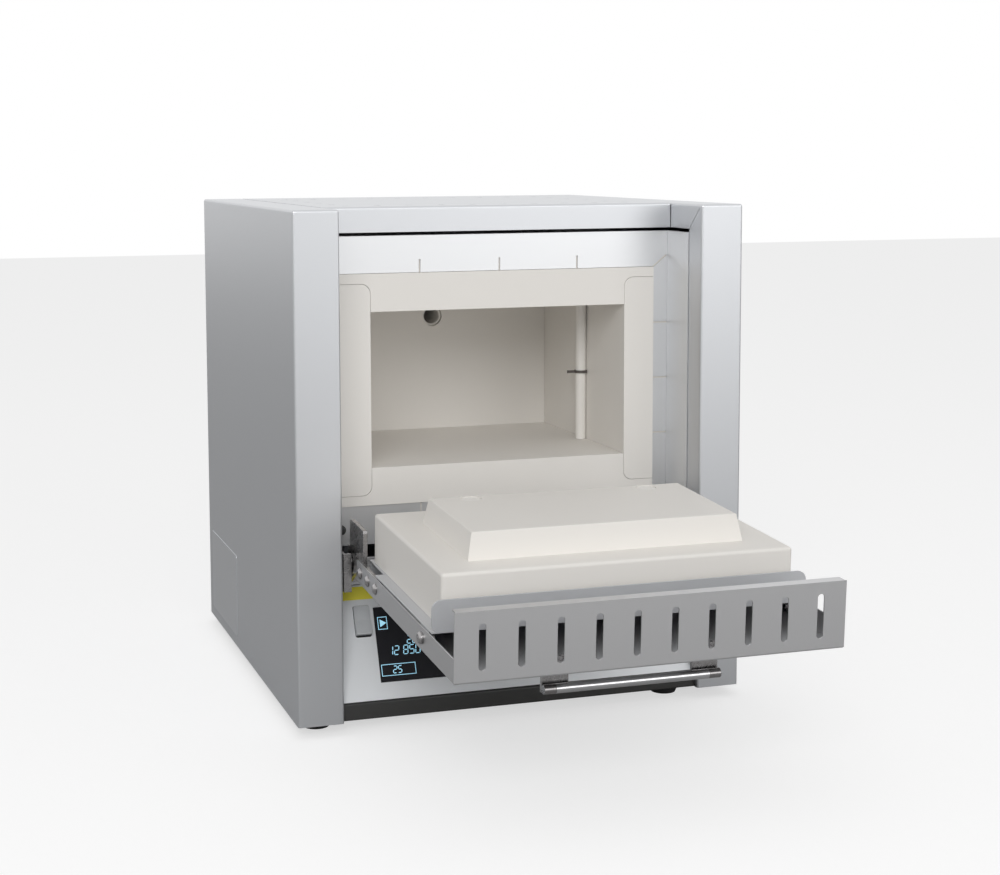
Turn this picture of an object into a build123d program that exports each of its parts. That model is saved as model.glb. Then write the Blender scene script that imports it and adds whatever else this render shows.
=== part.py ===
from build123d import *
from math import atan2, cos, degrees, hypot, radians, sin, tan
import os

os.makedirs("parts", exist_ok=True)

# Bench muffle furnace with a flap door that opens downwards.
# The working frame has X across, Y from the pillar faces to the back and Z up from the casing's underside.
# The door is drawn shut and is then turned about its hinge line to the open position.
# All lengths are in millimetres and all angles in degrees.

# Sheet metal and fits
sheet_t = 1.0
bend_r = 2.0
seam_gap = 0.5
fit_gap = 0.3

# Chamber
chamber_w = 226.4
chamber_h = 130.0
chamber_d = 195.0

# Fibre blocks, boards and steel box round the chamber
insert_t = 27.2
insert_overlap = 23.0
insert_r = 8.0
lintel_t = 31.5
block_gap = 0.3
back_block_t = 30.0
backing_t = 29.0
backing_back_t = 55.0
muffle_case_t = 1.0
muffle_lift = 57.0
collar_proud = 2.0
support_d = 16.0
support_inset_x = 20.4
support_inset_front = 46.0
support_inset_rear = 34.6

# Casing round the muffle
plate_y = 66.0
plate_margin_x = 13.4
plate_margin_top = 31.0
plate_lap = 11.2
plate_foot_drop = 2.4
plate_return = 15.0
shadow_gap = 3.0
pillar_w = 37.7
pillar_return = 23.5
top_return = 21.0
rear_return = 15.0
rear_air = 44.4
miter_gap = 0.7
bar_setback = 4.5
cover_skirt = 15.0

# Ring of vent holes in the top cover
vent_d = 6.0
vent_columns = 10
vent_rows = 6
vent_margin_x = 28.3
vent_front_y = 95.5
vent_rear_margin = 65.0

# Expansion slits in the plate
slit_w = 1.5
slit_pitch_x = 70.0
slit_pitch_z = 48.2
slit_top_l = 10.0
slit_side_l = 12.6
slit_root = 1.0

# Base pan, its front band and its air slots
base_front_y = 5.5
base_band_h = 13.7
base_lip = 6.0
base_skirt = 15.0
base_slot_l = 34.0
base_slot_w = 4.0
base_slot_count = 7
base_slot_pitch = 12.0
base_slot_margin_x = 87.5
base_slot_rear = 210.0

# Rear panel with louvres for the controls and for the muffle
louvre_l = 46.0
louvre_w = 4.0
louvre_pitch = 10.0
louvre_rows = 4
louvre_margin_x = 87.5
louvre_low_z = 58.0
louvre_top_margin = 59.0
rear_screw_d = 7.0
rear_screw_h = 2.2
rear_screw_margin = 30.0

# Feet
foot_h = 9.0
foot_d = 25.0
foot_taper = 2.0
foot_left_margin = 21.5
foot_right_margin = 55.5
foot_front_y = 31.0
foot_rear_margin = 30.0
foot_screw_d = 5.0
foot_screw_head_d = 9.0
foot_screw_head_h = 3.0
foot_head_room = 1.0
foot_nut_h = 4.0

# Shelf between the controls and the muffle
shelf_z = 106.0
shelf_setback = 0.6
shelf_lip = 4.4
shelf_skirt = 13.0

# Heating strips in the outer faces of the side modules
groove_w = 7.0
groove_t = 6.0
groove_runs = 5
groove_margin_z = 28.0
groove_front_inset = 28.0
groove_rear_inset = 27.0
strip_w = 3.0
strip_t = 2.0
terminal_d = 5.0
terminal_bore = 7.0
terminal_case_bore = 11.0
terminal_tail = 18.0
terminal_weld_l = 8.0
terminal_nut_d = 10.0
terminal_nut_h = 4.0
terminal_nut_gap = 6.0

# Upright sensor tube beside the right wall and its wire clip
tube_d = 9.4
tube_bore = 6.4
tube_end_t = 3.0
tube_wall_gap = 0.3
tube_inset_y = 88.0
tube_foot_gap = 0.3
tube_roof_hole = 10.2
tube_top_room = 15.0
probe_d = 4.0
probe_lift = 5.0
probe_head_l = 20.0
probe_head_w = 14.0
probe_head_h = 9.0
probe_head_r = 2.0
clip_strip_t = 1.2
clip_strip_w = 2.4
clip_play = 0.1
clip_drop = 3.0
clip_tail = 6.0
clip_bead_l = 2.4

# Exhaust
exhaust_hole_d = 19.0
exhaust_tube_d = 18.4
exhaust_bore_d = 15.0
exhaust_rise = 41.9
exhaust_recess = 3.0
exhaust_stub = 12.0
exhaust_end_gap = 1.0
exhaust_flange_d = 44.0
exhaust_flange_t = 2.0
exhaust_collar_t = 2.0
exhaust_screw_d = 3.2
exhaust_screw_inset = 4.0

# Sloped control panel
panel_side_gap = 0.6
panel_t = 2.0
panel_foot_y = 8.0
panel_foot_gap = 0.5
panel_top_y = 45.4
panel_top_gap = 5.0
panel_hem = 14.6
display_margin_x = 32.9
display_w = 135.0
display_foot = 13.9
display_top_gap = 19.6
display_t = 2.4
display_proud = 0.2
display_r = 0.8
strip_top_gap = 1.4
strip_h = 10.6
strip_margin_x = 2.0
strip_sheet_t = 0.4
unit_margin_x = 3.5
unit_margin_y = 2.5
unit_t = 24.0
unit_r = 2.0
unit_vent_l = 76.0
unit_vent_w = 2.0
unit_vent_pitch = 7.0
unit_plug_l = 30.0
unit_plug_w = 8.0
unit_plug_h = 6.0

# Rocker switch
rocker_margin_x = 22.6
rocker_top_gap = 30.0
rocker_w = 13.2
rocker_l = 24.6
rocker_side_gap = 0.4
rocker_end_gap = 0.7
rocker_corner_r = 2.0
rocker_swing = 8.0
rocker_rise = 3.4
rocker_dip = 1.4
rocker_pivot_depth = 4.2
rocker_root = 3.6
rocker_pin_d = 2.4
rocker_pin_play = 0.05
rocker_pin_l = 1.2
switch_wall = 3.0
switch_body_d = 16.0
switch_tab_w = 6.0
switch_tab_t = 0.8
switch_tab_pitch = 9.0

# Power relay on its heat sink
relay_x = 70.0
relay_rear = 200.0
relay_w = 45.0
relay_l = 60.0
relay_h = 24.0
relay_bevel = 3.0
sink_fins = 6
sink_fin_h = 16.0
sink_fin_t = 3.0
sink_base_t = 4.0

# Terminal strip and cable gland
terminals_l = 60.0
terminals_w = 18.0
terminals_h = 20.0
terminals_ways = 5
terminals_rear = 60.0
terminals_shift = 10.0
terminals_wall = 2.0
terminals_bore_d = 4.0
gland_margin_x = 62.5
gland_z = 32.0
gland_bore_d = 9.0
gland_thread_d = 16.0
gland_tail = 7.0
gland_nut_t = 4.0
gland_dome_d = 22.0
gland_dome_l = 16.0
gland_dome_taper = 3.0

# Plain plate on the left wall
plate_blank_rear = 78.0
plate_blank_z = 48.0
plate_blank_l = 124.0
plate_blank_h = 76.0
plate_blank_t = 0.4
plate_blank_r = 2.0

# Hinge line and door shell
hinge_y = 15.75
hinge_rise = 22.4
open_angle = 93.0
door_side_gap = 8.5
door_face_y = 5.4
door_top_gap = 8.7
door_arm_rise = 22.0
door_foot_drop = 16.4
door_foot_margin = 11.3
door_hem = 8.0
door_bend_r = 1.5
arm_depth = 17.7
slot_flange_gap = 6.4
flange_lip_l = 9.0
flange_lip_inset = 1.0
slot_count = 10
slot_margin = 19.75
slot_l = 32.6
slot_w = 5.2

# Door tray
tray_gap = 0.3
tray_t = 1.2
tray_margin_x = 1.5
tray_lip_margin = 1.5
tray_top_drop = 8.9
tray_foot_drop = 4.9
tray_lip_depth = 23.7
tray_corner_r = 7.0
tray_tab_w = 16.0
tray_screw_drop = 17.7
tray_screw_setback = 9.0
tray_screw_edge = 5.0
tray_screw_d = 5.0
tray_screw_head_d = 9.0
tray_screw_head_h = 3.2
tray_screw_tail = 6.0
tray_nut_t = 4.0
tray_notch_w = 7.0
tray_notch_l = 43.0

# Door insulation
shut_gap = 0.3
door_block_seat = 0.2
door_block_margin_x = 5.2
door_block_foot_lift = 2.8
door_block_top_drop = 14.8
door_block_r = 2.5
plug_margin_x = 5.8
plug_foot_lift = 9.4
plug_top_drop = 9.5
plug_h = 20.0
plug_side_draft = 3.7
plug_draft = 4.1
plug_edge_r = 1.2
anchor_margin_x = 34.9
anchor_margin_z = 12.4
anchor_d = 16.0
anchor_dip = 1.5
anchor_cap_t = 0.8
anchor_stud_d = 4.0
anchor_nut_d = 8.0
anchor_nut_t = 3.5
anchor_tail = 5.0

# Hinge levers and pins
lever_t = 3.5
lever_eye_r = 10.0
lever_strap_l = 63.7
lever_strap_edge = 1.3
lever_neck_l = 16.0
lever_crown_reach = 34.5
lever_tail_drop = 3.3
lever_notch_rise = 12.6
lever_corner_r = 3.0
lever_nose_l = 5.0
lever_nose_bevel = 3.0
hinge_pin_d = 8.0
hinge_pin_gap = 0.05
hinge_pin_head_d = 13.0
hinge_pin_head_t = 2.4
rivet_first = 11.8
rivet_pitch = 22.0
rivet_count = 3
rivet_d = 5.0
rivet_head_d = 9.0
rivet_head_h = 2.4
rivet_tail_d = 7.0
rivet_tail_h = 1.0

# Hinge brackets and door bumpers
bracket_t = 3.0
bracket_web_reach = 22.25
bracket_web_t = 2.0
bracket_rise = 8.8
bracket_back_gap = 2.0
bracket_slot_drop = 7.0
bracket_side_gap = 0.8
bracket_inner_lap = 8.5
bracket_front_setback = 11.0
bracket_front_w = 6.4
bracket_front_rise = 8.6
bracket_eye_edge = 1.0
bracket_screw_inset = 4.5
bracket_screw_setback = 11.0
bracket_screw_d = 4.0
bracket_hole_d = 4.4
bracket_head_d = 7.0
bracket_head_h = 2.2
bracket_nut_h = 2.4
bumper_d = 8.0
bumper_rise = 17.6
bumper_gap = 0.3
bumper_nose = 2.0

# Handle
handle_drop = 37.9
handle_reach = 23.3
handle_d = 7.0
handle_seat_gap = 0.05
handle_span = 134.8
handle_cap_l = 9.0
handle_cap_wall = 0.5
handle_strap_w = 20.0
handle_strap_t = 3.0
handle_bar_screw_d = 3.0
handle_bar_screw_depth = 4.5
handle_bar_head_d = 5.5
handle_bar_head_h = 1.8
handle_foot_t = 2.0
handle_foot_edge = 5.0
handle_screw_pitch = 22.0
handle_screw_d = 3.8
handle_screw_hole_d = 4.2
handle_screw_head_d = 7.0
handle_screw_head_h = 2.0
handle_nut_t = 3.0
handle_screw_tail = 4.0

# Widths, from the chamber outwards
chamber_x = chamber_w / 2
collar_x = chamber_x + insert_t
recess_x = collar_x + plate_margin_x
pillar_x = recess_x + sheet_t
half_w = pillar_x + pillar_w
wall_inner_x = half_w - sheet_t
cover_half_w = pillar_x - seam_gap
pan_half_w = wall_inner_x - fit_gap
plate_half_w = recess_x + plate_lap
case_room = collar_x + block_gap + backing_t + block_gap
support_x = collar_x - support_inset_x
tube_x = chamber_x - tube_wall_gap - tube_d / 2
vent_pitch_x = 2 * (cover_half_w - vent_margin_x) / (vent_columns - 1)
base_slot_x = half_w - base_slot_margin_x
louvre_x = half_w - louvre_margin_x
foot_x = (foot_left_margin - half_w, half_w - foot_right_margin)
gland_x = half_w - gland_margin_x

# Heights, from the shelf upwards
insert_h = chamber_h + 2 * insert_overlap
collar_h = chamber_h + 2 * lintel_t
muffle_z = shelf_z + muffle_lift + collar_h / 2
collar_z = (muffle_z - collar_h / 2, muffle_z + collar_h / 2)
chamber_z = (muffle_z - chamber_h / 2, muffle_z + chamber_h / 2)
case_room_z = collar_h / 2 + block_gap + backing_t + block_gap
muffle_case_foot = muffle_z - case_room_z - muffle_case_t
plate_foot_z = muffle_case_foot - plate_foot_drop
plate_top_z = collar_z[1] + plate_margin_top
case_h = plate_top_z + shadow_gap + top_return
tube_head_z = case_h - tube_top_room
clip_z = muffle_z - clip_drop
exhaust_z = muffle_z + exhaust_rise
louvre_high_z = case_h - louvre_top_margin
groove_pitch = (insert_h - 2 * groove_margin_z) / (groove_runs - 1)

# Depths, from the pillar faces backwards
collar_y = plate_y - collar_proud
front_bar_y = plate_y - bar_setback
backing_y = plate_y + sheet_t + fit_gap
back_wall_y = collar_y + chamber_d
back_backing_y = back_wall_y + back_block_t + block_gap
case_room_y = back_backing_y + backing_back_t + block_gap
case_d = case_room_y + muffle_case_t + rear_air
rear_y = case_d - sheet_t
vent_pitch_y = (case_d - vent_rear_margin - vent_front_y) / (vent_rows - 1)
support_front_y = collar_y + support_inset_front
support_rear_y = case_room_y - support_inset_rear
tube_y = collar_y + tube_inset_y
foot_rear_y = case_d - foot_rear_margin
groove_start_y = collar_y + groove_front_inset
groove_end_y = back_wall_y - groove_rear_inset

# Control bay below the shelf
panel_half_w = recess_x - panel_side_gap
panel_foot_z = base_band_h + panel_foot_gap
panel_top_z = shelf_z - panel_top_gap
panel_back_y = panel_top_y + panel_hem
shelf_front_y = panel_top_y + shelf_setback
panel_rise = panel_top_z - panel_foot_z
panel_run = panel_top_y - panel_foot_y
panel_slope = atan2(panel_run, panel_rise)
panel_l = hypot(panel_run, panel_rise)
display_mid_x = -panel_half_w + display_margin_x + display_w / 2
display_h = panel_l - display_foot - display_top_gap
display_mid = display_foot + display_h / 2
strip_mid = panel_l - strip_top_gap - strip_h / 2
rocker_x = -panel_half_w + rocker_margin_x
rocker_mid = panel_l - rocker_top_gap
rocker_slot_w = rocker_w + 2 * rocker_side_gap
rocker_slot_l = rocker_l + 2 * rocker_end_gap
switch_top = -panel_t - display_proud

# Door, shut
hinge_z = shelf_z + hinge_rise
door_x = recess_x - door_side_gap
door_top_z = case_h - door_top_gap
door_arm_z = hinge_z + door_arm_rise
door_foot_z = hinge_z - door_foot_drop
door_foot_x = door_x - door_foot_margin
slot_flange_depth = front_bar_y - slot_flange_gap - door_face_y
slot_pitch = 2 * (door_x - slot_margin) / (slot_count - 1)
tray_x = door_x - tray_margin_x
tray_y = door_face_y + arm_depth + tray_gap
tray_floor_y = tray_y + tray_t
tray_top_z = collar_z[1] - tray_top_drop
tray_foot_z = collar_z[0] - tray_foot_drop
tray_screw_y = tray_floor_y - tray_screw_setback
tray_screw_z = tray_top_z - tray_screw_drop
door_block_x = collar_x - door_block_margin_x
door_block_foot_z = collar_z[0] + door_block_foot_lift
door_block_top_z = collar_z[1] - door_block_top_drop
block_face_y = collar_y - shut_gap
plug_x = chamber_x - plug_margin_x
plug_base_foot_z = chamber_z[0] + plug_foot_lift
plug_base_top_z = chamber_z[1] - plug_top_drop
anchor_x = plug_x - anchor_margin_x
anchor_z = plug_base_foot_z + anchor_margin_z
handle_y = door_face_y - handle_reach
handle_z = door_top_z - handle_drop
handle_strap_x = handle_span / 2 - handle_strap_w / 2
handle_strap_top_z = handle_z - handle_d / 2 - handle_seat_gap

# Hinges
lever_x = door_x - sheet_t - lever_t
lever_strap_top_z = door_arm_z + lever_strap_l
lever_neck_z = door_arm_z + lever_neck_l
lever_tail_z = hinge_z - lever_tail_drop
lever_notch_z = hinge_z + lever_notch_rise
lever_notch_y = tray_floor_y + 0.1
cheek_x = lever_x - fit_gap - bracket_t
rivet_y = door_face_y + arm_depth / 2 + sheet_t
rivet_z = [door_arm_z + rivet_first + rivet_pitch * count for count in range(rivet_count)]
bracket_web_y = hinge_y + bracket_web_reach
bracket_top_z = hinge_z + bracket_rise
bracket_slot_z = hinge_z - bracket_slot_drop
bracket_back_y = plate_y - bracket_back_gap
bracket_outer_x = recess_x - bracket_side_gap
bracket_inner_x = cheek_x - bracket_inner_lap
bracket_screw_x = (bracket_inner_x + bracket_screw_inset, bracket_outer_x - bracket_screw_inset)
bracket_screw_y = bracket_back_y - bracket_screw_setback
bumper_x = lever_x + lever_t / 2
bumper_z = hinge_z + bumper_rise

# Origin of the finished part: on the floor, below the middle of its length with the door open
open_turn = radians(open_angle)
flange_end_y = door_face_y + slot_flange_depth
front_y = hinge_y + (flange_end_y - hinge_y) * cos(open_turn) - (door_top_z - hinge_z) * sin(open_turn)
origin_y = (front_y + case_d + gland_dome_l) / 2
place = Pos(0, -origin_y, foot_h)
hinge_line = Axis((0, hinge_y, hinge_z), (1, 0, 0))
panel_plane = Plane(
    origin=(0, panel_foot_y, panel_foot_z),
    x_dir=(1, 0, 0),
    z_dir=(0, -cos(panel_slope), sin(panel_slope)),
)


def span(x, y, z):
    """Block between the low and high values given for each axis."""
    low = Vector(x[0], y[0], z[0])
    high = Vector(x[1], y[1], z[1])
    size = high - low
    middle = (low + high) * 0.5
    return Pos(*middle) * Box(size.X, size.Y, size.Z)


def outline(*points):
    """Flat face inside a closed chain of straight lines."""
    return make_face(Polyline(*points, close=True))


def side_view(face, low_x, high_x):
    """Face drawn in (Y, Z), made solid between two X values."""
    return Pos(low_x, 0, 0) * extrude(Plane.YZ * face, high_x - low_x)


def front_view(face, low_y, high_y):
    """Face drawn in (X, Z), made solid between two Y values."""
    return Pos(0, high_y, 0) * extrude(Plane.XZ * face, high_y - low_y)


def rod_x(diameter, low_x, high_x, y, z):
    """Round bar along X."""
    return Pos((low_x + high_x) / 2, y, z) * Rot(0, 90, 0) * Cylinder(diameter / 2, high_x - low_x)


def rod_y(diameter, low_y, high_y, x, z):
    """Round bar along Y."""
    return Pos(x, (low_y + high_y) / 2, z) * Rot(90, 0, 0) * Cylinder(diameter / 2, high_y - low_y)


def rod_z(diameter, low_z, high_z, x, y):
    """Round bar along Z."""
    return Pos(x, y, (low_z + high_z) / 2) * Cylinder(diameter / 2, high_z - low_z)


def nearest(items, *points):
    """The edges or corners whose middles lie nearest to the given points."""
    return [min(items, key=lambda item: (item.center() - Vector(*point)).length) for point in points]


def mirrored(shape):
    """The other hand of a shape, reflected in the middle plane."""
    return mirror(shape, about=Plane.YZ)


def pair(shape):
    """A shape together with its other hand."""
    return shape + mirrored(shape)


def opened(shape):
    """A door piece turned from shut to the open rest position."""
    return shape.rotate(hinge_line, open_angle)


def on_panel(shape):
    """A shape drawn in the sloped panel's own frame, set in place."""
    return panel_plane * shape


def save(name, shape):
    """Place one finished piece and write its file."""
    export_step(place * shape, f"parts/{name}.step")


def side_panel():
    """Left wall, front pillar and top edge, folded from one sheet."""
    left = (-half_w, -pillar_x)
    body = span(left, (0, rear_y), (0, case_h))
    long_bends = nearest(
        body.edges(),
        (-half_w, 0, case_h / 2),
        (-pillar_x, 0, case_h / 2),
        (-half_w, rear_y / 2, case_h),
        (-pillar_x, rear_y / 2, case_h),
        ((-half_w - pillar_x) / 2, 0, case_h),
    )
    body = fillet(long_bends, bend_r)
    room = span(
        (-wall_inner_x, -pillar_x - sheet_t),
        (sheet_t, rear_y - sheet_t),
        (-sheet_t, case_h - sheet_t),
    )
    body -= room
    below_return = case_h - top_return
    window = outline(
        (pillar_return, -sheet_t),
        (rear_y - sheet_t, -sheet_t),
        (rear_y - sheet_t, below_return),
        (pillar_return, below_return),
    )
    body -= side_view(window, -pillar_x - 2 * sheet_t, -pillar_x + sheet_t)
    miter_start = 2 * bend_r
    miter_drop = top_return / pillar_return * miter_start
    miter = outline(
        (miter_start, case_h - miter_drop + miter_gap),
        (miter_start, case_h - miter_drop),
        (pillar_return - miter_gap, below_return + miter_gap),
        (pillar_return - miter_gap, below_return - sheet_t),
        (pillar_return, below_return - sheet_t),
        (pillar_return, below_return + miter_gap),
    )
    body -= side_view(miter, -pillar_x - sheet_t, -pillar_x + sheet_t)
    rear_opening = span(
        (-half_w + rear_return, -pillar_x + sheet_t),
        (rear_y - 2 * sheet_t, rear_y + sheet_t),
        (-sheet_t, below_return),
    )
    body -= rear_opening
    return body


def top_cover():
    """Middle of the top with a front bar, short skirts and a ring of vent holes."""
    low_z = case_h - top_return
    body = span((-cover_half_w, cover_half_w), (front_bar_y, rear_y - fit_gap), (low_z, case_h))
    body = fillet(nearest(body.edges(), (0, front_bar_y, case_h)), bend_r)
    room = span(
        (-cover_half_w + sheet_t, cover_half_w - sheet_t),
        (front_bar_y + sheet_t, rear_y - fit_gap - sheet_t),
        (low_z - sheet_t, case_h - sheet_t),
    )
    body -= room
    below_skirt = span(
        (-cover_half_w - sheet_t, cover_half_w + sheet_t),
        (front_bar_y + 3 * sheet_t, rear_y + sheet_t),
        (low_z - sheet_t, case_h - cover_skirt),
    )
    body -= below_skirt
    middle_x = cover_half_w - vent_margin_x
    vent = Cylinder(vent_d / 2, 4 * sheet_t)
    for column in range(vent_columns):
        for row in range(vent_rows):
            on_edge = row in (0, vent_rows - 1) or column in (0, vent_columns - 1)
            if on_edge:
                x = vent_pitch_x * column - middle_x
                y = vent_front_y + vent_pitch_y * row
                body -= Pos(x, y, case_h) * vent
    return body


def louvres(z):
    """Cutters for a left and a right stack of horizontal air slots."""
    slot = SlotOverall(louvre_l, louvre_w)
    stack = Sketch()
    for row in range(louvre_rows):
        stack += Pos(-louvre_x, z + louvre_pitch * (row - (louvre_rows - 1) / 2)) * slot
    return pair(front_view(stack, rear_y - sheet_t, case_d + sheet_t))


def rear_panel():
    """Flat back sheet with louvres, the exhaust hole and the cable hole."""
    sheet = Rectangle(2 * (half_w - seam_gap), case_h - 2 * seam_gap)
    sheet = fillet(sheet.vertices(), bend_r)
    body = front_view(Pos(0, case_h / 2) * sheet, rear_y, case_d)
    body -= louvres(louvre_low_z)
    body -= louvres(louvre_high_z)
    body -= rod_y(exhaust_tube_d + 2 * fit_gap, rear_y - sheet_t, case_d + sheet_t, 0, exhaust_z)
    body -= rod_y(gland_thread_d + 2 * fit_gap, rear_y - sheet_t, case_d + sheet_t, gland_x, gland_z)
    return body


def foot_places():
    """The (X, Y) places of the four feet."""
    return [(x, y) for x in foot_x for y in (foot_front_y, foot_rear_y)]


def base_pan():
    """Floor of the casing with a front band, low skirts and intake slots."""
    rear_inner = rear_y - sheet_t - fit_gap
    narrow = span((-cover_half_w, cover_half_w), (base_front_y, rear_inner), (0, base_band_h))
    narrow = fillet(nearest(narrow.edges(), (0, base_front_y, base_band_h), (0, base_front_y, 0)), bend_r / 2)
    narrow -= span(
        (-cover_half_w - 1, cover_half_w + 1),
        (base_front_y + sheet_t, rear_inner + 1),
        (sheet_t, base_band_h - sheet_t),
    )
    narrow -= span(
        (-cover_half_w - 1, cover_half_w + 1),
        (base_front_y + base_lip, rear_inner + 1),
        (sheet_t, base_band_h + 1),
    )
    wide_y = pillar_return + fit_gap
    wide = span((-pan_half_w, pan_half_w), (wide_y, rear_inner), (0, base_skirt))
    wide -= span(
        (-pan_half_w + sheet_t, pan_half_w - sheet_t),
        (wide_y - 1, rear_inner - sheet_t),
        (sheet_t, base_skirt + 1),
    )
    body = narrow + wide
    slot = SlotOverall(base_slot_l, base_slot_w)
    stack = Sketch()
    for row in range(base_slot_count):
        for side in (-1, 1):
            y = case_d - base_slot_rear + base_slot_pitch * (row - (base_slot_count - 1) / 2)
            stack += Pos(side * base_slot_x, y) * slot
    body -= Pos(0, 0, -sheet_t) * extrude(stack, 3 * sheet_t)
    for x, y in foot_places():
        body -= rod_z(foot_screw_d + 2 * fit_gap, -sheet_t, 2 * sheet_t, x, y)
    return body


def foot():
    """Tapered rubber foot with a recess for its screw head."""
    top_r = foot_d / 2
    profile = outline(
        (foot_screw_d / 2 + fit_gap, 0),
        (top_r, 0),
        (top_r, -foot_h / 2),
        (top_r - foot_taper, -foot_h),
        (foot_screw_head_d / 2 + foot_head_room, -foot_h),
        (foot_screw_head_d / 2 + foot_head_room, -foot_h / 2),
        (foot_screw_d / 2 + fit_gap, -foot_h / 2),
    )
    return revolve(Plane.XZ * profile, Axis.Z)


def foot_screw():
    """Pan-head screw and nut that hold one foot."""
    head_z = -foot_h / 2
    screw = rod_z(foot_screw_head_d, head_z - foot_screw_head_h, head_z, 0, 0)
    screw += rod_z(foot_screw_d, head_z, sheet_t + foot_nut_h + foot_head_room, 0, 0)
    nut = extrude(Pos(0, 0, sheet_t) * RegularPolygon(foot_screw_head_d / 2, 6), foot_nut_h)
    return screw + nut


def recess_side():
    """Left side sheet of the recess, with a flange against the plate."""
    low_z = shelf_z + fit_gap
    web = span((-pillar_x, -recess_x), (pillar_return + seam_gap, plate_y), (low_z, plate_top_z))
    flange = span((-plate_half_w, -recess_x), (plate_y - sheet_t, plate_y), (low_z, plate_top_z))
    body = web + flange
    bend = nearest(body.edges(), (-recess_x, plate_y, (low_z + plate_top_z) / 2))
    return fillet(bend, bend_r / 4)


def plate_slits():
    """Expansion slits that run outwards from the plate's window."""
    slits = Sketch()
    for count in (-1, 0, 1):
        x = slit_pitch_x * count
        z = slit_pitch_z * count
        for side in (-1, 1):
            height = collar_h / 2 + slit_top_l / 2
            reach = collar_x + slit_side_l / 2
            slits += Pos(x, muffle_z + side * height) * Rectangle(slit_w, slit_top_l + 2 * slit_root)
            slits += Pos(side * reach, muffle_z + z) * Rectangle(slit_side_l + 2 * slit_root, slit_w)
    corner_l = hypot(slit_top_l, slit_side_l)
    for x_side in (-1, 1):
        for z_side in (-1, 1):
            x = x_side * (collar_x + slit_side_l / 2)
            z = muffle_z + z_side * (collar_h / 2 + slit_top_l / 2)
            angle = x_side * z_side * degrees(atan2(slit_top_l, slit_side_l))
            slits += Pos(x, z) * Rot(0, 0, angle) * Rectangle(corner_l, slit_w)
    return slits


def face_plate():
    """Brushed plate round the fibre collar, with a folded lower edge."""
    height = plate_top_z - plate_foot_z
    sheet = Pos(0, plate_foot_z + height / 2) * Rectangle(2 * plate_half_w, height)
    window = Pos(0, muffle_z) * Rectangle(2 * (collar_x + fit_gap), collar_h + 2 * fit_gap)
    body = front_view(sheet - window - plate_slits(), plate_y, plate_y + sheet_t)
    body += span(
        (-plate_half_w, plate_half_w),
        (plate_y, plate_y + plate_return),
        (plate_foot_z, plate_foot_z + sheet_t),
    )
    lower_bend = nearest(body.edges(), (0, plate_y, plate_foot_z))
    return fillet(lower_bend, bend_r / 4)


def shelf():
    """Deck that carries the muffle, with a front lip and side skirts."""
    deck_x = pan_half_w
    rear_inner = rear_y - sheet_t - fit_gap
    body = span((-deck_x, deck_x), (shelf_front_y, rear_inner), (shelf_z - sheet_t, shelf_z))
    body += span(
        (-recess_x + fit_gap, recess_x - fit_gap),
        (shelf_front_y, shelf_front_y + sheet_t),
        (shelf_z - shelf_lip, shelf_z),
    )
    front_bend = nearest(body.edges(), (0, shelf_front_y, shelf_z))
    body = fillet(front_bend, bend_r / 4)
    skirt = span(
        (-deck_x, -deck_x + sheet_t),
        (shelf_front_y + pillar_w, rear_inner),
        (shelf_z - shelf_skirt, shelf_z),
    )
    body += pair(skirt)
    for x in bracket_screw_x:
        for side in (-1, 1):
            body -= rod_z(bracket_hole_d, shelf_z - 2, shelf_z + 1, side * x, bracket_screw_y)
    return body


def muffle_case():
    """Steel box round the insulation, open towards the plate."""
    outer_x = case_room + muffle_case_t
    outer_z = case_room_z + muffle_case_t
    body = span(
        (-outer_x, outer_x),
        (backing_y, case_room_y + muffle_case_t),
        (muffle_z - outer_z, muffle_z + outer_z),
    )
    body = fillet(body.edges().filter_by(Axis.Y), bend_r)
    body -= span(
        (-case_room, case_room),
        (backing_y - 1, case_room_y),
        (muffle_z - case_room_z, muffle_z + case_room_z),
    )
    body -= rod_y(exhaust_hole_d + 2, case_room_y - 1, case_room_y + 2, 0, exhaust_z)
    body -= rod_z(tube_roof_hole + 2, muffle_z, muffle_z + outer_z + 1, tube_x, tube_y)
    body -= terminal_holes(terminal_case_bore, case_room_y - 1, case_room_y + 2)
    return body


def terminal_places():
    """The (X, Z) places of the four heating terminals."""
    x = collar_x - groove_t / 2
    z = groove_pitch * (groove_runs - 1) / 2
    return [(side * x, muffle_z + end * z) for side in (-1, 1) for end in (-1, 1)]


def terminal_holes(diameter, low_y, high_y):
    """Cutters for the four terminals."""
    holes = [rod_y(diameter, low_y, high_y, x, z) for x, z in terminal_places()]
    return holes[0] + holes[1:]


def backing_boards():
    """Rigid boards between the muffle and its steel box, as separate pieces."""
    y = (backing_y, back_backing_y - block_gap)
    inner_x = collar_x + block_gap
    outer_x = case_room - block_gap
    inner_z = collar_h / 2 + block_gap
    outer_z = case_room_z - block_gap
    left = span((-outer_x, -inner_x), y, (muffle_z - outer_z, muffle_z + outer_z))
    top = span((-collar_x, collar_x), y, (muffle_z + inner_z, muffle_z + outer_z))
    top -= rod_z(tube_roof_hole, muffle_z, case_h, tube_x, tube_y)
    bottom = span((-collar_x, collar_x), y, (muffle_z - outer_z, muffle_z - inner_z))
    back = span(
        (-outer_x, outer_x),
        (back_backing_y, back_backing_y + backing_back_t),
        (muffle_z - outer_z, muffle_z + outer_z),
    )
    back -= rod_y(exhaust_hole_d, back_wall_y, case_d, 0, exhaust_z)
    back -= terminal_holes(terminal_bore, back_wall_y, case_d)
    return left + [mirrored(left), top, bottom, back]


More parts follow.
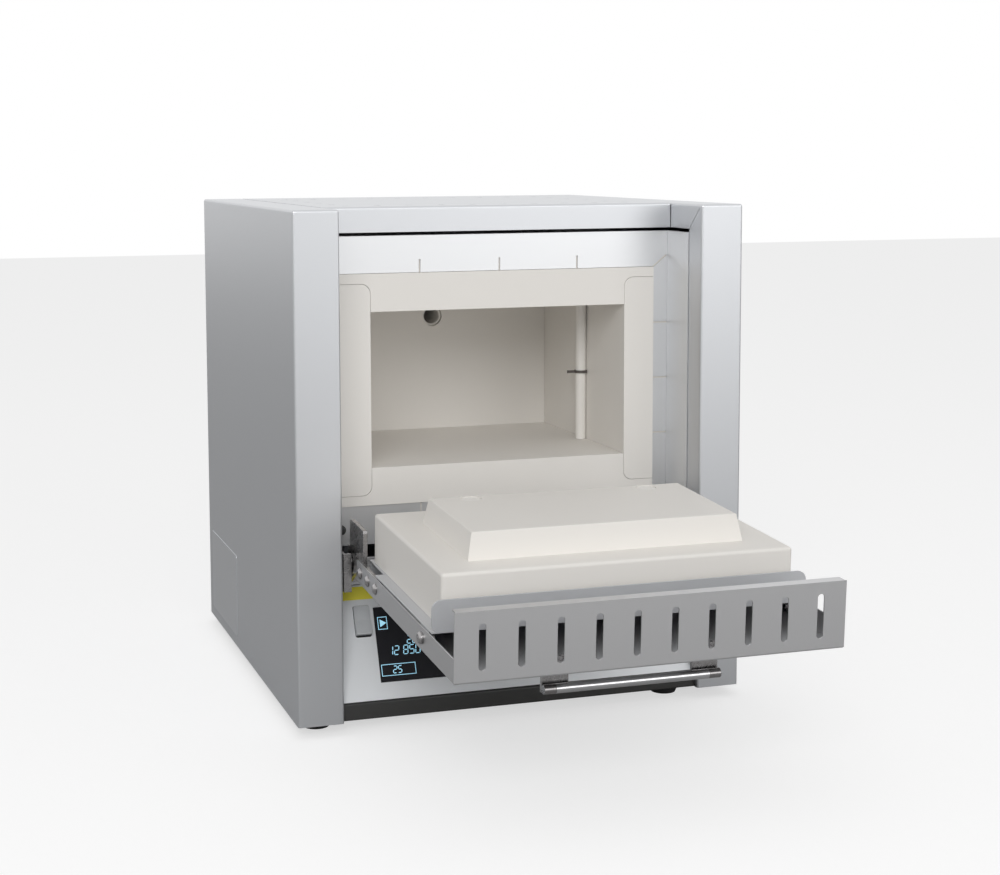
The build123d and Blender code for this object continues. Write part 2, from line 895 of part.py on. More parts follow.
def muffle_roof():
    """Roof block with a wide top edge and a narrow part between the side modules."""
    step_x = chamber_x - block_gap
    step_z = insert_h / 2 + block_gap
    face = outline(
        (-collar_x, collar_h / 2),
        (collar_x, collar_h / 2),
        (collar_x, step_z),
        (step_x, step_z),
        (step_x, chamber_h / 2),
        (-step_x, chamber_h / 2),
        (-step_x, step_z),
        (-collar_x, step_z),
    )
    face = fillet(nearest(face.vertices(), (step_x, step_z, 0), (-step_x, step_z, 0)), insert_r)
    return front_view(Pos(0, muffle_z) * face, collar_y, back_wall_y - block_gap)


def roof_with_tube_hole():
    """Roof block with the hole for the sensor tube."""
    return muffle_roof() - rod_z(tube_roof_hole, muffle_z, case_h, tube_x, tube_y)


def muffle_floor():
    """Floor block, the roof block turned over."""
    turned = mirror(muffle_roof(), about=Plane.XY.offset(muffle_z))
    return turned


def muffle_back():
    """Back block with the exhaust hole."""
    body = span((-collar_x, collar_x), (back_wall_y, back_wall_y + back_block_t), collar_z)
    body -= rod_y(exhaust_hole_d, back_wall_y - 1, back_wall_y + back_block_t + 1, 0, exhaust_z)
    body -= terminal_holes(terminal_bore, back_wall_y - 1, back_wall_y + back_block_t + 1)
    return body


def meander(width):
    """Flat to-and-fro track in (Y, Z), centred on the muffle's height."""
    start_z = -groove_pitch * (groove_runs - 1) / 2
    turn_r = groove_pitch / 2
    track = Sketch()
    for run in range(groove_runs):
        z = start_z + groove_pitch * run
        track += Pos((groove_start_y + groove_end_y) / 2, z) * Rectangle(groove_end_y - groove_start_y, width)
    for turn in range(groove_runs - 1):
        at_end = turn % 2 == 0
        y = groove_start_y if at_end else groove_end_y
        side = -1 if at_end else 1
        z = start_z + groove_pitch * (turn + 0.5)
        ring = Circle(turn_r + width / 2) - Circle(turn_r - width / 2)
        half = Pos(side * turn_r, 0) * Rectangle(2 * turn_r, 4 * turn_r)
        track += Pos(y, z) * (ring & half)
    for end in (-1, 1):
        exit_l = back_wall_y - block_gap - groove_end_y
        track += Pos(groove_end_y + exit_l / 2, end * start_z) * Rectangle(exit_l, width)
    return Pos(0, muffle_z) * track


def heater_module():
    """Left side module: rounded at the chamber side and grooved at the outer side."""
    face = Rectangle(insert_t, insert_h)
    inner = nearest(face.vertices(), (insert_t / 2, insert_h / 2, 0), (insert_t / 2, -insert_h / 2, 0))
    face = fillet(inner, insert_r)
    body = front_view(
        Pos(-chamber_x - insert_t / 2, muffle_z) * face, collar_y, back_wall_y - block_gap
    )
    body -= side_view(meander(groove_w), -collar_x - 1, -collar_x + groove_t)
    return body


def heating_strips():
    """Left heating strip, lying in its groove."""
    seat_x = -collar_x + groove_t - fit_gap
    free_l = terminal_weld_l + fit_gap
    free = Pos(back_wall_y - free_l / 2, muffle_z) * Rectangle(free_l, 2 * groove_pitch * groove_runs)
    return side_view(meander(strip_w) - free, seat_x - strip_t, seat_x)


def heating_terminals():
    """Four rods that bring the heating strips out at the back, each with its nut."""
    rods = []
    for x, z in terminal_places():
        rod = rod_y(terminal_d, back_wall_y - terminal_weld_l, case_room_y + terminal_tail, x, z)
        nut = RegularPolygon(terminal_nut_d / 2, 6)
        seat_y = case_room_y + muffle_case_t + terminal_nut_gap
        rod += front_view(Pos(x, z) * nut, seat_y, seat_y + terminal_nut_h)
        rods.append(rod)
    return rods[0] + rods[1:]


def sensor_tube():
    """Ceramic tube that stands beside the right wall and goes up through the roof."""
    low_z = chamber_z[0] + tube_foot_gap
    body = rod_z(tube_d, low_z, tube_head_z, tube_x, tube_y)
    body -= rod_z(tube_bore, low_z + tube_end_t, tube_head_z + 1, tube_x, tube_y)
    return body


def thermocouple():
    """Probe inside the tube, with a small connection head above it."""
    low_z = chamber_z[0] + tube_foot_gap + probe_lift
    probe = rod_z(probe_d, low_z, tube_head_z + fit_gap + 1, tube_x, tube_y)
    plan = RectangleRounded(probe_head_l, probe_head_w, probe_head_r)
    head = extrude(Pos(tube_x, tube_y, tube_head_z + fit_gap) * plan, probe_head_h)
    return probe + head


def tube_clip():
    """Strip clip that hugs the tube, with a short rolled tail."""
    inner_r = tube_d / 2 + clip_play
    outer_r = inner_r + clip_strip_t
    wall_x = chamber_x - tube_x - fit_gap
    ring = Circle(outer_r) - Circle(inner_r)
    ring &= Pos(wall_x - 2 * outer_r, 0) * Rectangle(4 * outer_r, 4 * outer_r)
    ring += Pos(-outer_r - clip_tail / 2 + 0.1, 0) * Rectangle(clip_tail, clip_strip_t)
    ring += Pos(-outer_r - clip_tail, 0) * Circle(clip_bead_l / 2)
    return Pos(tube_x, tube_y, clip_z - clip_strip_w / 2) * extrude(ring, clip_strip_w)


def exhaust_tube():
    """Ceramic exhaust tube from the back block to the rear panel."""
    front_y = back_wall_y + exhaust_recess
    end_y = case_d + exhaust_stub - exhaust_end_gap
    body = rod_y(exhaust_tube_d, front_y, end_y, 0, exhaust_z)
    body -= rod_y(exhaust_bore_d, front_y - 1, end_y + 1, 0, exhaust_z)
    return body


def exhaust_flange():
    """Steel ring that holds the tube's outer end on the rear panel."""
    inner_r = exhaust_tube_d / 2 + fit_gap
    collar_r = inner_r + exhaust_collar_t
    flange_r = exhaust_flange_d / 2
    profile = outline(
        (inner_r, 0),
        (flange_r, 0),
        (flange_r, exhaust_flange_t),
        (collar_r + 1, exhaust_flange_t),
        (collar_r, exhaust_flange_t + 1),
        (collar_r, exhaust_stub),
        (inner_r, exhaust_stub),
    )
    ring = revolve(Plane.XZ * profile, Axis.Z)
    for turn in range(3):
        ring -= Rot(0, 0, 120 * turn) * Pos(flange_r - exhaust_screw_inset, 0, 0) * Cylinder(
            exhaust_screw_d / 2, 3 * exhaust_flange_t
        )
    return Pos(0, case_d, exhaust_z) * Rot(-90, 0, 0) * ring


def control_panel():
    """Sloped fascia with folded edges, a display window and a switch slot."""
    face = outline(
        (panel_foot_y, panel_foot_z),
        (panel_top_y, panel_top_z),
        (panel_back_y, panel_top_z),
        (panel_back_y, panel_foot_z),
    )
    body = side_view(face, -panel_half_w, panel_half_w)
    slope_step = panel_t / cos(panel_slope)
    room_low = panel_foot_z + panel_t
    room_high = panel_top_z - panel_t
    room = outline(
        (panel_foot_y + panel_t * tan(panel_slope) + slope_step, room_low),
        (panel_top_y - panel_t * tan(panel_slope) + slope_step, room_high),
        (panel_back_y + 1, room_high),
        (panel_back_y + 1, room_low),
    )
    body -= side_view(room, -panel_half_w + panel_t, panel_half_w - panel_t)
    corners = nearest(
        body.edges(),
        (-panel_half_w, (panel_foot_y + panel_top_y) / 2, (panel_foot_z + panel_top_z) / 2),
        (panel_half_w, (panel_foot_y + panel_top_y) / 2, (panel_foot_z + panel_top_z) / 2),
    )
    body = fillet(corners, bend_r / 2)
    pocket = Pos(display_mid_x, display_mid, 0) * Box(
        display_w + 2 * fit_gap, display_h + 2 * fit_gap, 4 * panel_t
    )
    slot_face = RectangleRounded(rocker_slot_w, rocker_slot_l, rocker_corner_r)
    slot = Pos(rocker_x, rocker_mid, -2 * panel_t) * extrude(slot_face, 4 * panel_t)
    body -= on_panel(pocket)
    body -= on_panel(slot)
    return body


def display_window():
    """Flat glass of the display, almost flush in the fascia."""
    glass = RectangleRounded(display_w, display_h, display_r)
    body = Pos(display_mid_x, display_mid, display_proud - display_t) * extrude(glass, display_t)
    return on_panel(body)


def control_unit():
    """Controller box with its board, clamped behind the display."""
    unit_w = display_w - 2 * unit_margin_x
    unit_h = display_h - 2 * unit_margin_y
    back = display_proud - display_t - fit_gap
    box = Pos(0, 0, back - unit_t / 2) * Box(unit_w, unit_h, unit_t)
    box = fillet(box.edges().filter_by(Axis.Z), unit_r)
    vent = Pos(0, 0, back - unit_t) * Box(unit_vent_l, unit_vent_w, 2 * unit_vent_w)
    for row in range(-2, 3):
        box -= Pos(0, row * unit_vent_pitch, 0) * vent
    plug_y = unit_plug_w - unit_h / 2
    plug = Pos(0, plug_y, back - unit_t - unit_plug_h / 2) * Box(unit_plug_l, unit_plug_w, unit_plug_h)
    return on_panel(Pos(display_mid_x, display_mid, 0) * (box + plug))


def accent_strip():
    """Plain coloured strip along the top of the fascia."""
    width = 2 * (panel_half_w - strip_margin_x)
    body = Pos(0, strip_mid, strip_sheet_t / 2) * Box(width, strip_h, strip_sheet_t)
    return on_panel(body)


def rocker():
    """Rocker of the power switch, at rest with its upper end pressed in."""
    half = rocker_l / 2
    root = -rocker_pivot_depth - rocker_root
    face = outline(
        (-half, rocker_rise),
        (0, rocker_dip),
        (half, rocker_rise),
        (half - 1, root + 2),
        (half - 4, root),
        (-half + 4, root),
        (-half + 1, root + 2),
    )
    tips = nearest(face.vertices(), (-half, rocker_rise, 0), (half, rocker_rise, 0))
    face = fillet(tips, 0.8)
    body = Pos(-rocker_w / 2, 0, 0) * extrude(Plane.YZ * face, rocker_w)
    rim = RectangleRounded(rocker_w, rocker_l, rocker_corner_r)
    body = body & Pos(0, 0, 2 * root) * extrude(rim, -4 * root)
    pin = Pos(0, 0, -rocker_pivot_depth) * Rot(0, 90, 0) * Cylinder(
        rocker_pin_d / 2, rocker_w + 2 * rocker_pin_l
    )
    body += pin
    turned = body.rotate(Axis((0, 0, -rocker_pivot_depth), (1, 0, 0)), -rocker_swing)
    return on_panel(Pos(rocker_x, rocker_mid, 0) * turned)


def switch_body():
    """Housing of the rocker switch, behind the fascia."""
    width = rocker_slot_w + 2 * switch_wall
    length = rocker_slot_l + 2 * switch_wall
    body = Pos(0, 0, switch_top - switch_body_d / 2) * Box(width, length, switch_body_d)
    body = fillet(body.edges().filter_by(Axis.Z), bend_r / 2)
    room = switch_body_d - switch_wall
    body -= Pos(0, 0, switch_top - room / 2) * Box(rocker_slot_w, rocker_slot_l, room)
    body -= Pos(0, 0, -rocker_pivot_depth) * Rot(0, 90, 0) * Cylinder(
        rocker_pin_d / 2 + rocker_pin_play, rocker_w + 2 * (rocker_pin_l + fit_gap)
    )
    for row in (-1, 0, 1):
        tab = Box(switch_tab_w, switch_tab_t, switch_tab_w)
        body += Pos(0, row * switch_tab_pitch, switch_top - switch_body_d - switch_tab_w / 2) * tab
    return on_panel(Pos(rocker_x, rocker_mid, 0) * body)


def power_relay():
    """Relay on a finned heat sink, standing on the base pan."""
    base = Pos(0, 0, sink_fin_h + sink_base_t / 2) * Box(relay_w, relay_l, sink_base_t)
    fin_pitch = (relay_w - sink_fin_t) / (sink_fins - 1)
    fin = Pos(0, 0, sink_fin_h / 2) * Box(sink_fin_t, relay_l, sink_fin_h)
    for count in range(sink_fins):
        base += Pos(fin_pitch * (count - (sink_fins - 1) / 2), 0, 0) * fin
    relay = Pos(0, 0, sink_fin_h + sink_base_t + relay_h / 2) * Box(relay_w, relay_l, relay_h)
    relay = chamfer(relay.faces().sort_by(Axis.Z)[-1].edges(), relay_bevel)
    return Pos(relay_x, case_d - relay_rear, sheet_t) * (base + relay)


def terminal_strip():
    """Row of mains terminals on the base pan near the cable hole."""
    body = Pos(0, 0, terminals_h / 2) * Box(terminals_l, terminals_w, terminals_h)
    pitch = terminals_l / terminals_ways
    well = Pos(0, 0, terminals_h) * Box(pitch - terminals_wall, terminals_w / 3, terminals_h / 2)
    entry = Pos(0, 0, terminals_h / 3) * Rot(90, 0, 0) * Cylinder(terminals_bore_d / 2, 2 * terminals_w)
    for way in range(terminals_ways):
        step = pitch * (way - (terminals_ways - 1) / 2)
        body -= Pos(step, 0, 0) * well
        body -= Pos(step, 0, 0) * entry
    return Pos(gland_x - terminals_shift, case_d - terminals_rear, sheet_t) * body


def cable_gland():
    """Gland on the rear panel, open where the supply cable would pass."""
    bore_r = gland_bore_d / 2
    thread_r = gland_thread_d / 2
    dome_r = gland_dome_d / 2
    nut_y = -sheet_t - gland_nut_t
    profile = outline(
        (bore_r, -gland_tail),
        (thread_r, -gland_tail),
        (thread_r, 0),
        (dome_r, 0),
        (dome_r, gland_dome_l - 2 * gland_dome_taper),
        (dome_r - gland_dome_taper, gland_dome_l),
        (bore_r, gland_dome_l),
    )
    body = revolve(Plane.XZ * profile, Axis.Z)
    nut = Pos(0, 0, nut_y) * extrude(RegularPolygon(dome_r, 6) - Circle(bore_r), gland_nut_t)
    return Pos(gland_x, case_d, gland_z) * Rot(-90, 0, 0) * (body + nut)


def blank_plate():
    """Bare plate on the left wall."""
    low_x = -half_w - plate_blank_t
    plan = RectangleRounded(plate_blank_l, plate_blank_h, plate_blank_r)
    face = Pos(case_d - plate_blank_rear, plate_blank_z) * plan
    return side_view(face, low_x, -half_w)


def case_supports():
    """Four posts between the shelf and the steel box."""
    posts = []
    for x in (-support_x, support_x):
        for y in (support_front_y, support_rear_y):
            posts.append(rod_z(support_d, shelf_z, muffle_case_foot, x, y))
    return posts[0] + posts[1:]


def hinge_bracket():
    """Left hinge bracket: a foot on the shelf, a slotted web and a forward cheek."""
    foot = span(
        (-bracket_outer_x, -bracket_inner_x),
        (bracket_web_y, bracket_back_y),
        (shelf_z, shelf_z + bracket_web_t),
    )
    for x in bracket_screw_x:
        foot -= rod_z(bracket_hole_d, shelf_z - 1, shelf_z + 2 * bracket_web_t, -x, bracket_screw_y)
    web = span(
        (-bracket_outer_x, -bracket_inner_x),
        (bracket_web_y, bracket_web_y + bracket_web_t),
        (shelf_z, bracket_top_z),
    )
    web -= span(
        (-door_x - 2 * bracket_side_gap, -lever_x + fit_gap),
        (bracket_web_y - 1, bracket_web_y + 2 * bracket_web_t),
        (bracket_slot_z, bracket_top_z + 1),
    )
    eye_r = lever_eye_r - bracket_eye_edge
    profile = outline(
        (bracket_web_y + bracket_web_t, shelf_z),
        (bracket_web_y + bracket_web_t, bracket_top_z),
        (hinge_y, bracket_top_z),
        (hinge_y - eye_r, hinge_z),
        (hinge_y, hinge_z - eye_r),
        (bracket_web_y, shelf_z),
    )
    profile += Pos(hinge_y, hinge_z) * Circle(eye_r)
    cheek = side_view(profile, -cheek_x - bracket_t, -cheek_x)
    cheek -= rod_x(hinge_pin_d, -door_x, -cheek_x + 1, hinge_y, hinge_z)
    front_y = hinge_y - bracket_front_setback
    front_z = (shelf_z, hinge_z + bracket_front_rise)
    outer = span(
        (-bracket_outer_x, -bracket_outer_x + bracket_web_t), (front_y, bracket_web_y + 0.1), front_z
    )
    front = span(
        (-bracket_outer_x, -bracket_outer_x + bracket_front_w), (front_y, front_y + bracket_web_t), front_z
    )
    return foot + web + cheek + outer + front


def bracket_screws():
    """Two left screws that hold the bracket's foot, with nuts below the shelf."""
    screws = []
    top_z = shelf_z + bracket_web_t
    for x in bracket_screw_x:
        screw = rod_z(bracket_head_d, top_z, top_z + bracket_head_h, -x, bracket_screw_y)
        nut_z = shelf_z - sheet_t - bracket_nut_h
        screw += rod_z(bracket_screw_d, nut_z - fit_gap, top_z + 0.1, -x, bracket_screw_y)
        nut = RegularPolygon(bracket_head_d / 2, 6)
        screw += Pos(-x, bracket_screw_y, nut_z) * extrude(nut, bracket_nut_h)
        screws.append(screw)
    return screws[0] + screws[1:]


def hinge_pin():
    """Left hinge pin, fixed in the cheek, with a head outside the lever."""
    head_x = -door_x + sheet_t - fit_gap
    body = rod_x(hinge_pin_d, head_x - 0.1, -cheek_x, hinge_y, hinge_z)
    body += rod_x(hinge_pin_head_d, head_x - hinge_pin_head_t, head_x, hinge_y, hinge_z)
    return body


def bumper():
    """Rubber stop on the plate for the shut lever."""
    nose_y = hinge_y + lever_crown_reach + bumper_gap
    length = plate_y - nose_y
    profile = outline(
        (0, 0),
        (bumper_d / 2, 0),
        (bumper_d / 2, length - bumper_nose),
        (bumper_d / 2 - bumper_nose, length),
        (0, length),
    )
    return Pos(-bumper_x, plate_y, bumper_z) * Rot(90, 0, 0) * revolve(Plane.XZ * profile, Axis.Z)


def door_shell():
    """Outer skin of the door with side arms and a deep slotted top flange."""
    skin = span(
        (-door_x, door_x), (door_face_y, door_face_y + slot_flange_depth), (door_arm_z, door_top_z)
    )
    bends = nearest(
        skin.edges(),
        (-door_x, door_face_y, (door_arm_z + door_top_z) / 2),
        (door_x, door_face_y, (door_arm_z + door_top_z) / 2),
        (0, door_face_y, door_top_z),
    )
    skin = fillet(bends, door_bend_r)
    skin -= span(
        (-door_x + sheet_t, door_x - sheet_t),
        (door_face_y + sheet_t, door_face_y + slot_flange_depth + 1),
        (door_arm_z - 1, door_top_z - sheet_t),
    )
    skin -= span(
        (-door_x - 1, door_x + 1),
        (door_face_y + arm_depth, door_face_y + slot_flange_depth + 1),
        (door_arm_z - 1, door_top_z - sheet_t),
    )
    lip_half = door_x - flange_lip_inset
    skin += span(
        (-lip_half, lip_half),
        (flange_end_y - sheet_t, flange_end_y),
        (door_top_z - flange_lip_l, door_top_z),
    )
    slot_y = door_face_y + slot_flange_depth / 2
    slots = Sketch()
    for count in range(slot_count):
        x = slot_pitch * (count - (slot_count - 1) / 2)
        slots += Pos(x, slot_y) * SlotOverall(slot_l, slot_w, rotation=90)
    skin -= Pos(0, 0, door_top_z - 2 * sheet_t) * extrude(slots, 3 * sheet_t)
    half_foot = door_foot_x
    tongue = span(
        (-half_foot, half_foot), (door_face_y, door_face_y + sheet_t), (door_foot_z, door_arm_z + 1)
    )
    tongue += span(
        (-half_foot, half_foot),
        (door_face_y, door_face_y + door_hem),
        (door_foot_z, door_foot_z + sheet_t),
    )
    tongue = fillet(nearest(tongue.edges(), (0, door_face_y, door_foot_z)), bend_r / 4)
    skin += tongue
    for side in (-1, 1):
        near_x = side * door_x
        skin -= rod_x(tray_screw_d + 2 * fit_gap, near_x - 3, near_x + 3, tray_screw_y, tray_screw_z)
        for z in rivet_z:
            skin -= rod_x(rivet_d, near_x - 3, near_x + 3, rivet_y, z)
        for step in (-1, 1):
            z = handle_z + step * handle_screw_pitch / 2
            hole = rod_y(handle_screw_hole_d, door_face_y - 1, door_face_y + 2, side * handle_strap_x, z)
            skin -= hole
    return skin


def door_tray():
    """Inner tray that carries the door block, with a rounded front lip."""
    half = tray_x
    floor_y = tray_floor_y
    body = span((-half, half), (tray_y, floor_y), (tray_foot_z, tray_top_z))
    for side in (-1, 1):
        notch_x = side * (half - tray_notch_w / 2)
        body -= span(
            (notch_x - tray_notch_w / 2 - 0.01, notch_x + tray_notch_w / 2 + 0.01),
            (tray_y - 1, floor_y + 1),
            (tray_foot_z - 1, tray_foot_z + tray_notch_l),
        )
    lip = Rectangle(2 * (door_x - tray_lip_margin), tray_lip_depth)
    lip = fillet(lip.vertices(), tray_corner_r)
    body += Pos(0, tray_y + tray_lip_depth / 2, tray_top_z - tray_t) * extrude(lip, tray_t)
    rear_half = half - tray_notch_w - fit_gap
    rear_y_range = (door_face_y + sheet_t + fit_gap, floor_y)
    body += span((-rear_half, rear_half), rear_y_range, (tray_foot_z, tray_foot_z + tray_t))
    for side in (-1, 1):
        tab_x = side * (half - tray_t / 2)
        tab = span(
            (tab_x - tray_t / 2, tab_x + tray_t / 2),
            (tray_screw_y - tray_screw_edge, floor_y),
            (tray_screw_z - tray_tab_w / 2, tray_screw_z + tray_tab_w / 2),
        )
        tab -= rod_x(tray_screw_d + 2 * fit_gap, tab_x - 2, tab_x + 2, tray_screw_y, tray_screw_z)
        body += tab
    for x in (-anchor_x, anchor_x):
        body -= rod_y(anchor_stud_d + 2 * fit_gap, tray_y - 1, floor_y + 1, x, anchor_z)
    return body


def door_block():
    """Fibre slab of the door."""
    low_y = tray_floor_y + door_block_seat
    half = door_block_x
    body = span((-half, half), (low_y, block_face_y), (door_block_foot_z, door_block_top_z))
    soft = body.edges().filter_by(Axis.Y) + body.edges().filter_by(Axis.X).group_by(Axis.Y)[-1]
    soft += body.edges().filter_by(Axis.Z).group_by(Axis.Y)[-1]
    body = fillet(soft, door_block_r)
    for x in (-anchor_x, anchor_x):
        body -= rod_y(anchor_stud_d + 2 * fit_gap, low_y - 1, block_face_y + 1, x, anchor_z)
    return body


def door_plug():
    """Tapered fibre plug that enters the chamber mouth, with two anchor dimples."""
    height = plug_base_top_z - plug_base_foot_z
    base = Rectangle(2 * plug_x, height)
    top = Rectangle(2 * (plug_x - plug_side_draft), height - 2 * plug_draft)
    middle_z = (plug_base_foot_z + plug_base_top_z) / 2
    body = loft([Plane.XY * base, Plane.XY.offset(plug_h) * top])
    rim = body.faces().sort_by(Axis.Z)[-1].edges()
    body = fillet(rim, plug_edge_r)
    body = Pos(0, block_face_y, middle_z) * Rot(-90, 0, 0) * body
    for x in (-anchor_x, anchor_x):
        body -= rod_y(anchor_d, block_face_y + plug_h - anchor_dip, block_face_y + plug_h + 1, x, anchor_z)
        body -= rod_y(anchor_stud_d + 2 * fit_gap, block_face_y - 1, block_face_y + plug_h, x, anchor_z)
    return body


def plug_anchors():
    """Two ceramic studs that tie plug and block to the tray, each with a washer and a nut."""
    studs = []
    for x in (-anchor_x, anchor_x):
        end_y = block_face_y + plug_h - anchor_dip
        stud = rod_y(anchor_stud_d, tray_y - anchor_tail, end_y + 0.1, x, anchor_z)
        stud += rod_y(anchor_d - 2 * fit_gap, end_y, end_y + anchor_cap_t, x, anchor_z)
        nut = RegularPolygon(anchor_nut_d / 2, 6)
        stud += front_view(Pos(x, anchor_z) * nut, tray_y - anchor_nut_t, tray_y)
        studs.append(stud)
    return studs[0] + studs[1:]


def hinge_lever():
    """Left lever: a strap along the arm, a neck over the slot and an eye at the pin."""
    strap_low_y = door_face_y + lever_strap_edge
    strap_high_y = door_face_y + arm_depth - lever_strap_edge
    crown_y = hinge_y + lever_crown_reach
    face = outline(
        (strap_low_y, door_arm_z + fit_gap),
        (strap_low_y, lever_strap_top_z),
        (strap_high_y, lever_strap_top_z),
        (strap_high_y, lever_neck_z),
        (crown_y, lever_neck_z),
        (crown_y, lever_tail_z),
        (hinge_y, lever_tail_z),
        (hinge_y, lever_notch_z),
        (lever_notch_y, lever_notch_z),
        (lever_notch_y, door_arm_z + fit_gap),
    )
    rounded = nearest(
        face.vertices(),
        (crown_y, lever_neck_z, 0),
        (crown_y, lever_tail_z, 0),
        (strap_low_y, lever_strap_top_z, 0),
        (strap_high_y, lever_strap_top_z, 0),
        (lever_notch_y, lever_notch_z, 0),
    )
    face = fillet(rounded, lever_corner_r)
    face += Pos(hinge_y, hinge_z) * Circle(lever_eye_r)
    return face


def lever_nose():
    """Stop nose of the lever, worked out so that it meets the web when the door is open."""
    reach_y = bracket_web_y - fit_gap - hinge_y
    reach_z = bracket_slot_z - lever_nose_bevel - hinge_z
    tip_y = hinge_y + reach_y * cos(open_turn) + reach_z * sin(open_turn)
    tip_z = hinge_z - reach_y * sin(open_turn) + reach_z * cos(open_turn)
    return tip_y, tip_z


def build_lever():
    """Finished left lever with its nose and holes."""
    tip_y, tip_z = lever_nose()
    face = hinge_lever()
    face += outline(
        (hinge_y - lever_eye_r, hinge_z),
        (tip_y - lever_nose_bevel, tip_z + lever_nose_bevel),
        (tip_y, tip_z),
        (tip_y + lever_nose_l, tip_z),
        (hinge_y + lever_eye_r * 0.7, hinge_z - lever_eye_r * 0.7),
    )
    body = side_view(face, -lever_x - lever_t, -lever_x)
    body -= rod_x(hinge_pin_d + 2 * hinge_pin_gap, -door_x, -lever_x + 1, hinge_y, hinge_z)
    for z in rivet_z:
        body -= rod_x(rivet_d, -door_x, -lever_x + 1, rivet_y, z)
    return body


def lever_rivets():
    """Three left dome rivets through arm and lever."""
    rivets = []
    for z in rivet_z:
        shank = rod_x(rivet_d, -door_x, -lever_x, rivet_y, z)
        dome = rod_x(rivet_head_d, -door_x - rivet_head_h, -door_x, rivet_y, z)
        dome = chamfer(dome.faces().sort_by(Axis.X)[0].edges(), 0.7 * rivet_head_h, 0.9 * rivet_head_h)
        closed_end = rod_x(rivet_tail_d, -lever_x, -lever_x + rivet_tail_h, rivet_y, z)
        rivets.append(shank + dome + closed_end)
    return rivets[0] + rivets[1:]


def tray_screw():
    """Left screw through arm and tray tab, with its nut inside."""
    tab_x = -tray_x + tray_t
    head = rod_x(tray_screw_head_d, -door_x - tray_screw_head_h, -door_x, tray_screw_y, tray_screw_z)
    head = chamfer(head.faces().sort_by(Axis.X)[0].edges(), tray_screw_head_h / 2.3)
    shank = rod_x(tray_screw_d, -door_x - 0.1, tab_x + tray_screw_tail, tray_screw_y, tray_screw_z)
    hexagon = extrude(RegularPolygon(tray_screw_head_d / 2, 6), tray_nut_t)
    nut = Pos(tab_x, tray_screw_y, tray_screw_z) * Rot(0, 90, 0) * hexagon
    return head + shank + nut


def handle_bar():
    """Polished round bar, turned down at both ends for its sleeves."""
    half = handle_span / 2
    body = rod_x(handle_d, -half + handle_cap_l, half - handle_cap_l, handle_y, handle_z)
    body += rod_x(handle_d - 2 * handle_cap_wall, -half, half, handle_y, handle_z)
    for x in (-handle_strap_x, handle_strap_x):
        top_z = handle_strap_top_z + handle_bar_screw_depth
        body -= rod_z(handle_bar_screw_d, handle_strap_top_z - 1, top_z, x, handle_y)
    return body


def handle_straps():
    """Two flat straps that carry the bar off the door skin, each on a screwed foot."""
    half = handle_span / 2
    foot_l = handle_screw_pitch + 2 * handle_foot_edge
    profile = outline(
        (handle_y - handle_d / 2, handle_strap_top_z - handle_strap_t),
        (door_face_y, handle_strap_top_z - handle_strap_t),
        (door_face_y, handle_strap_top_z),
        (handle_y - handle_d / 2, handle_strap_top_z),
    )
    profile += Pos(door_face_y - handle_foot_t / 2, handle_z) * Rectangle(handle_foot_t, foot_l)
    strap = side_view(profile, -half, -half + handle_strap_w)
    for step in (-1, 1):
        z = handle_z + step * handle_screw_pitch / 2
        low_y = door_face_y - 2 * handle_foot_t
        strap -= rod_y(handle_screw_hole_d, low_y, door_face_y + 1, -handle_strap_x, z)
    low_z = handle_strap_top_z - handle_strap_t - 1
    hole_d = handle_bar_screw_d + 2 * fit_gap
    strap -= rod_z(hole_d, low_z, handle_strap_top_z + 1, -handle_strap_x, handle_y)
    return pair(strap)


def handle_screws():
    """Four screws that hold the straps, with nuts behind the door skin."""
    screws = []
    head_y = door_face_y - handle_foot_t
    back_y = door_face_y + sheet_t
    for step in (-1, 1):
        z = handle_z + step * handle_screw_pitch / 2
        screw = rod_y(handle_screw_head_d, head_y - handle_screw_head_h, head_y, -handle_strap_x, z)
        screw += rod_y(handle_screw_d, head_y - 0.1, back_y + handle_screw_tail, -handle_strap_x, z)
        nut = Pos(-handle_strap_x, z) * RegularPolygon(handle_screw_head_d / 2, 6)
        screw += front_view(nut, back_y, back_y + handle_nut_t)
        screws.append(screw)
    head_z = handle_strap_top_z - handle_strap_t
    end_z = handle_strap_top_z + handle_bar_screw_depth
    screw = rod_z(handle_bar_head_d, head_z - handle_bar_head_h, head_z, -handle_strap_x, handle_y)
    screw += rod_z(handle_bar_screw_d, head_z - 0.1, end_z, -handle_strap_x, handle_y)
    screws.append(screw)
    left = screws[0] + screws[1:]
    return pair(left)


def handle_caps():
    """Dark sleeves on the ends of the bar, flush with it."""
    half = handle_span / 2
    cap = rod_x(handle_d, -half, -half + handle_cap_l, handle_y, handle_z)
    cap -= rod_x(handle_d - 2 * handle_cap_wall, -half - 1, half, handle_y, handle_z)
    hole_d = handle_bar_screw_d + 2 * fit_gap
    cap -= rod_z(hole_d, handle_z - handle_d, handle_z, -handle_strap_x, handle_y)
    return pair(cap)


def rear_screws():
    """Screws round the edge of the rear panel."""
    x = half_w - rear_return / 2
    screws = []
    for z in (rear_screw_margin, case_h / 2, case_h - rear_screw_margin):
        screw = rod_y(rear_screw_d, case_d, case_d + rear_screw_h, -x, z)
        screw = chamfer(screw.faces().sort_by(Axis.Y)[-1].edges(), rear_screw_h / 2.5)
        screws.append(screw)
    left = screws[0] + screws[1:]
    return pair(left)


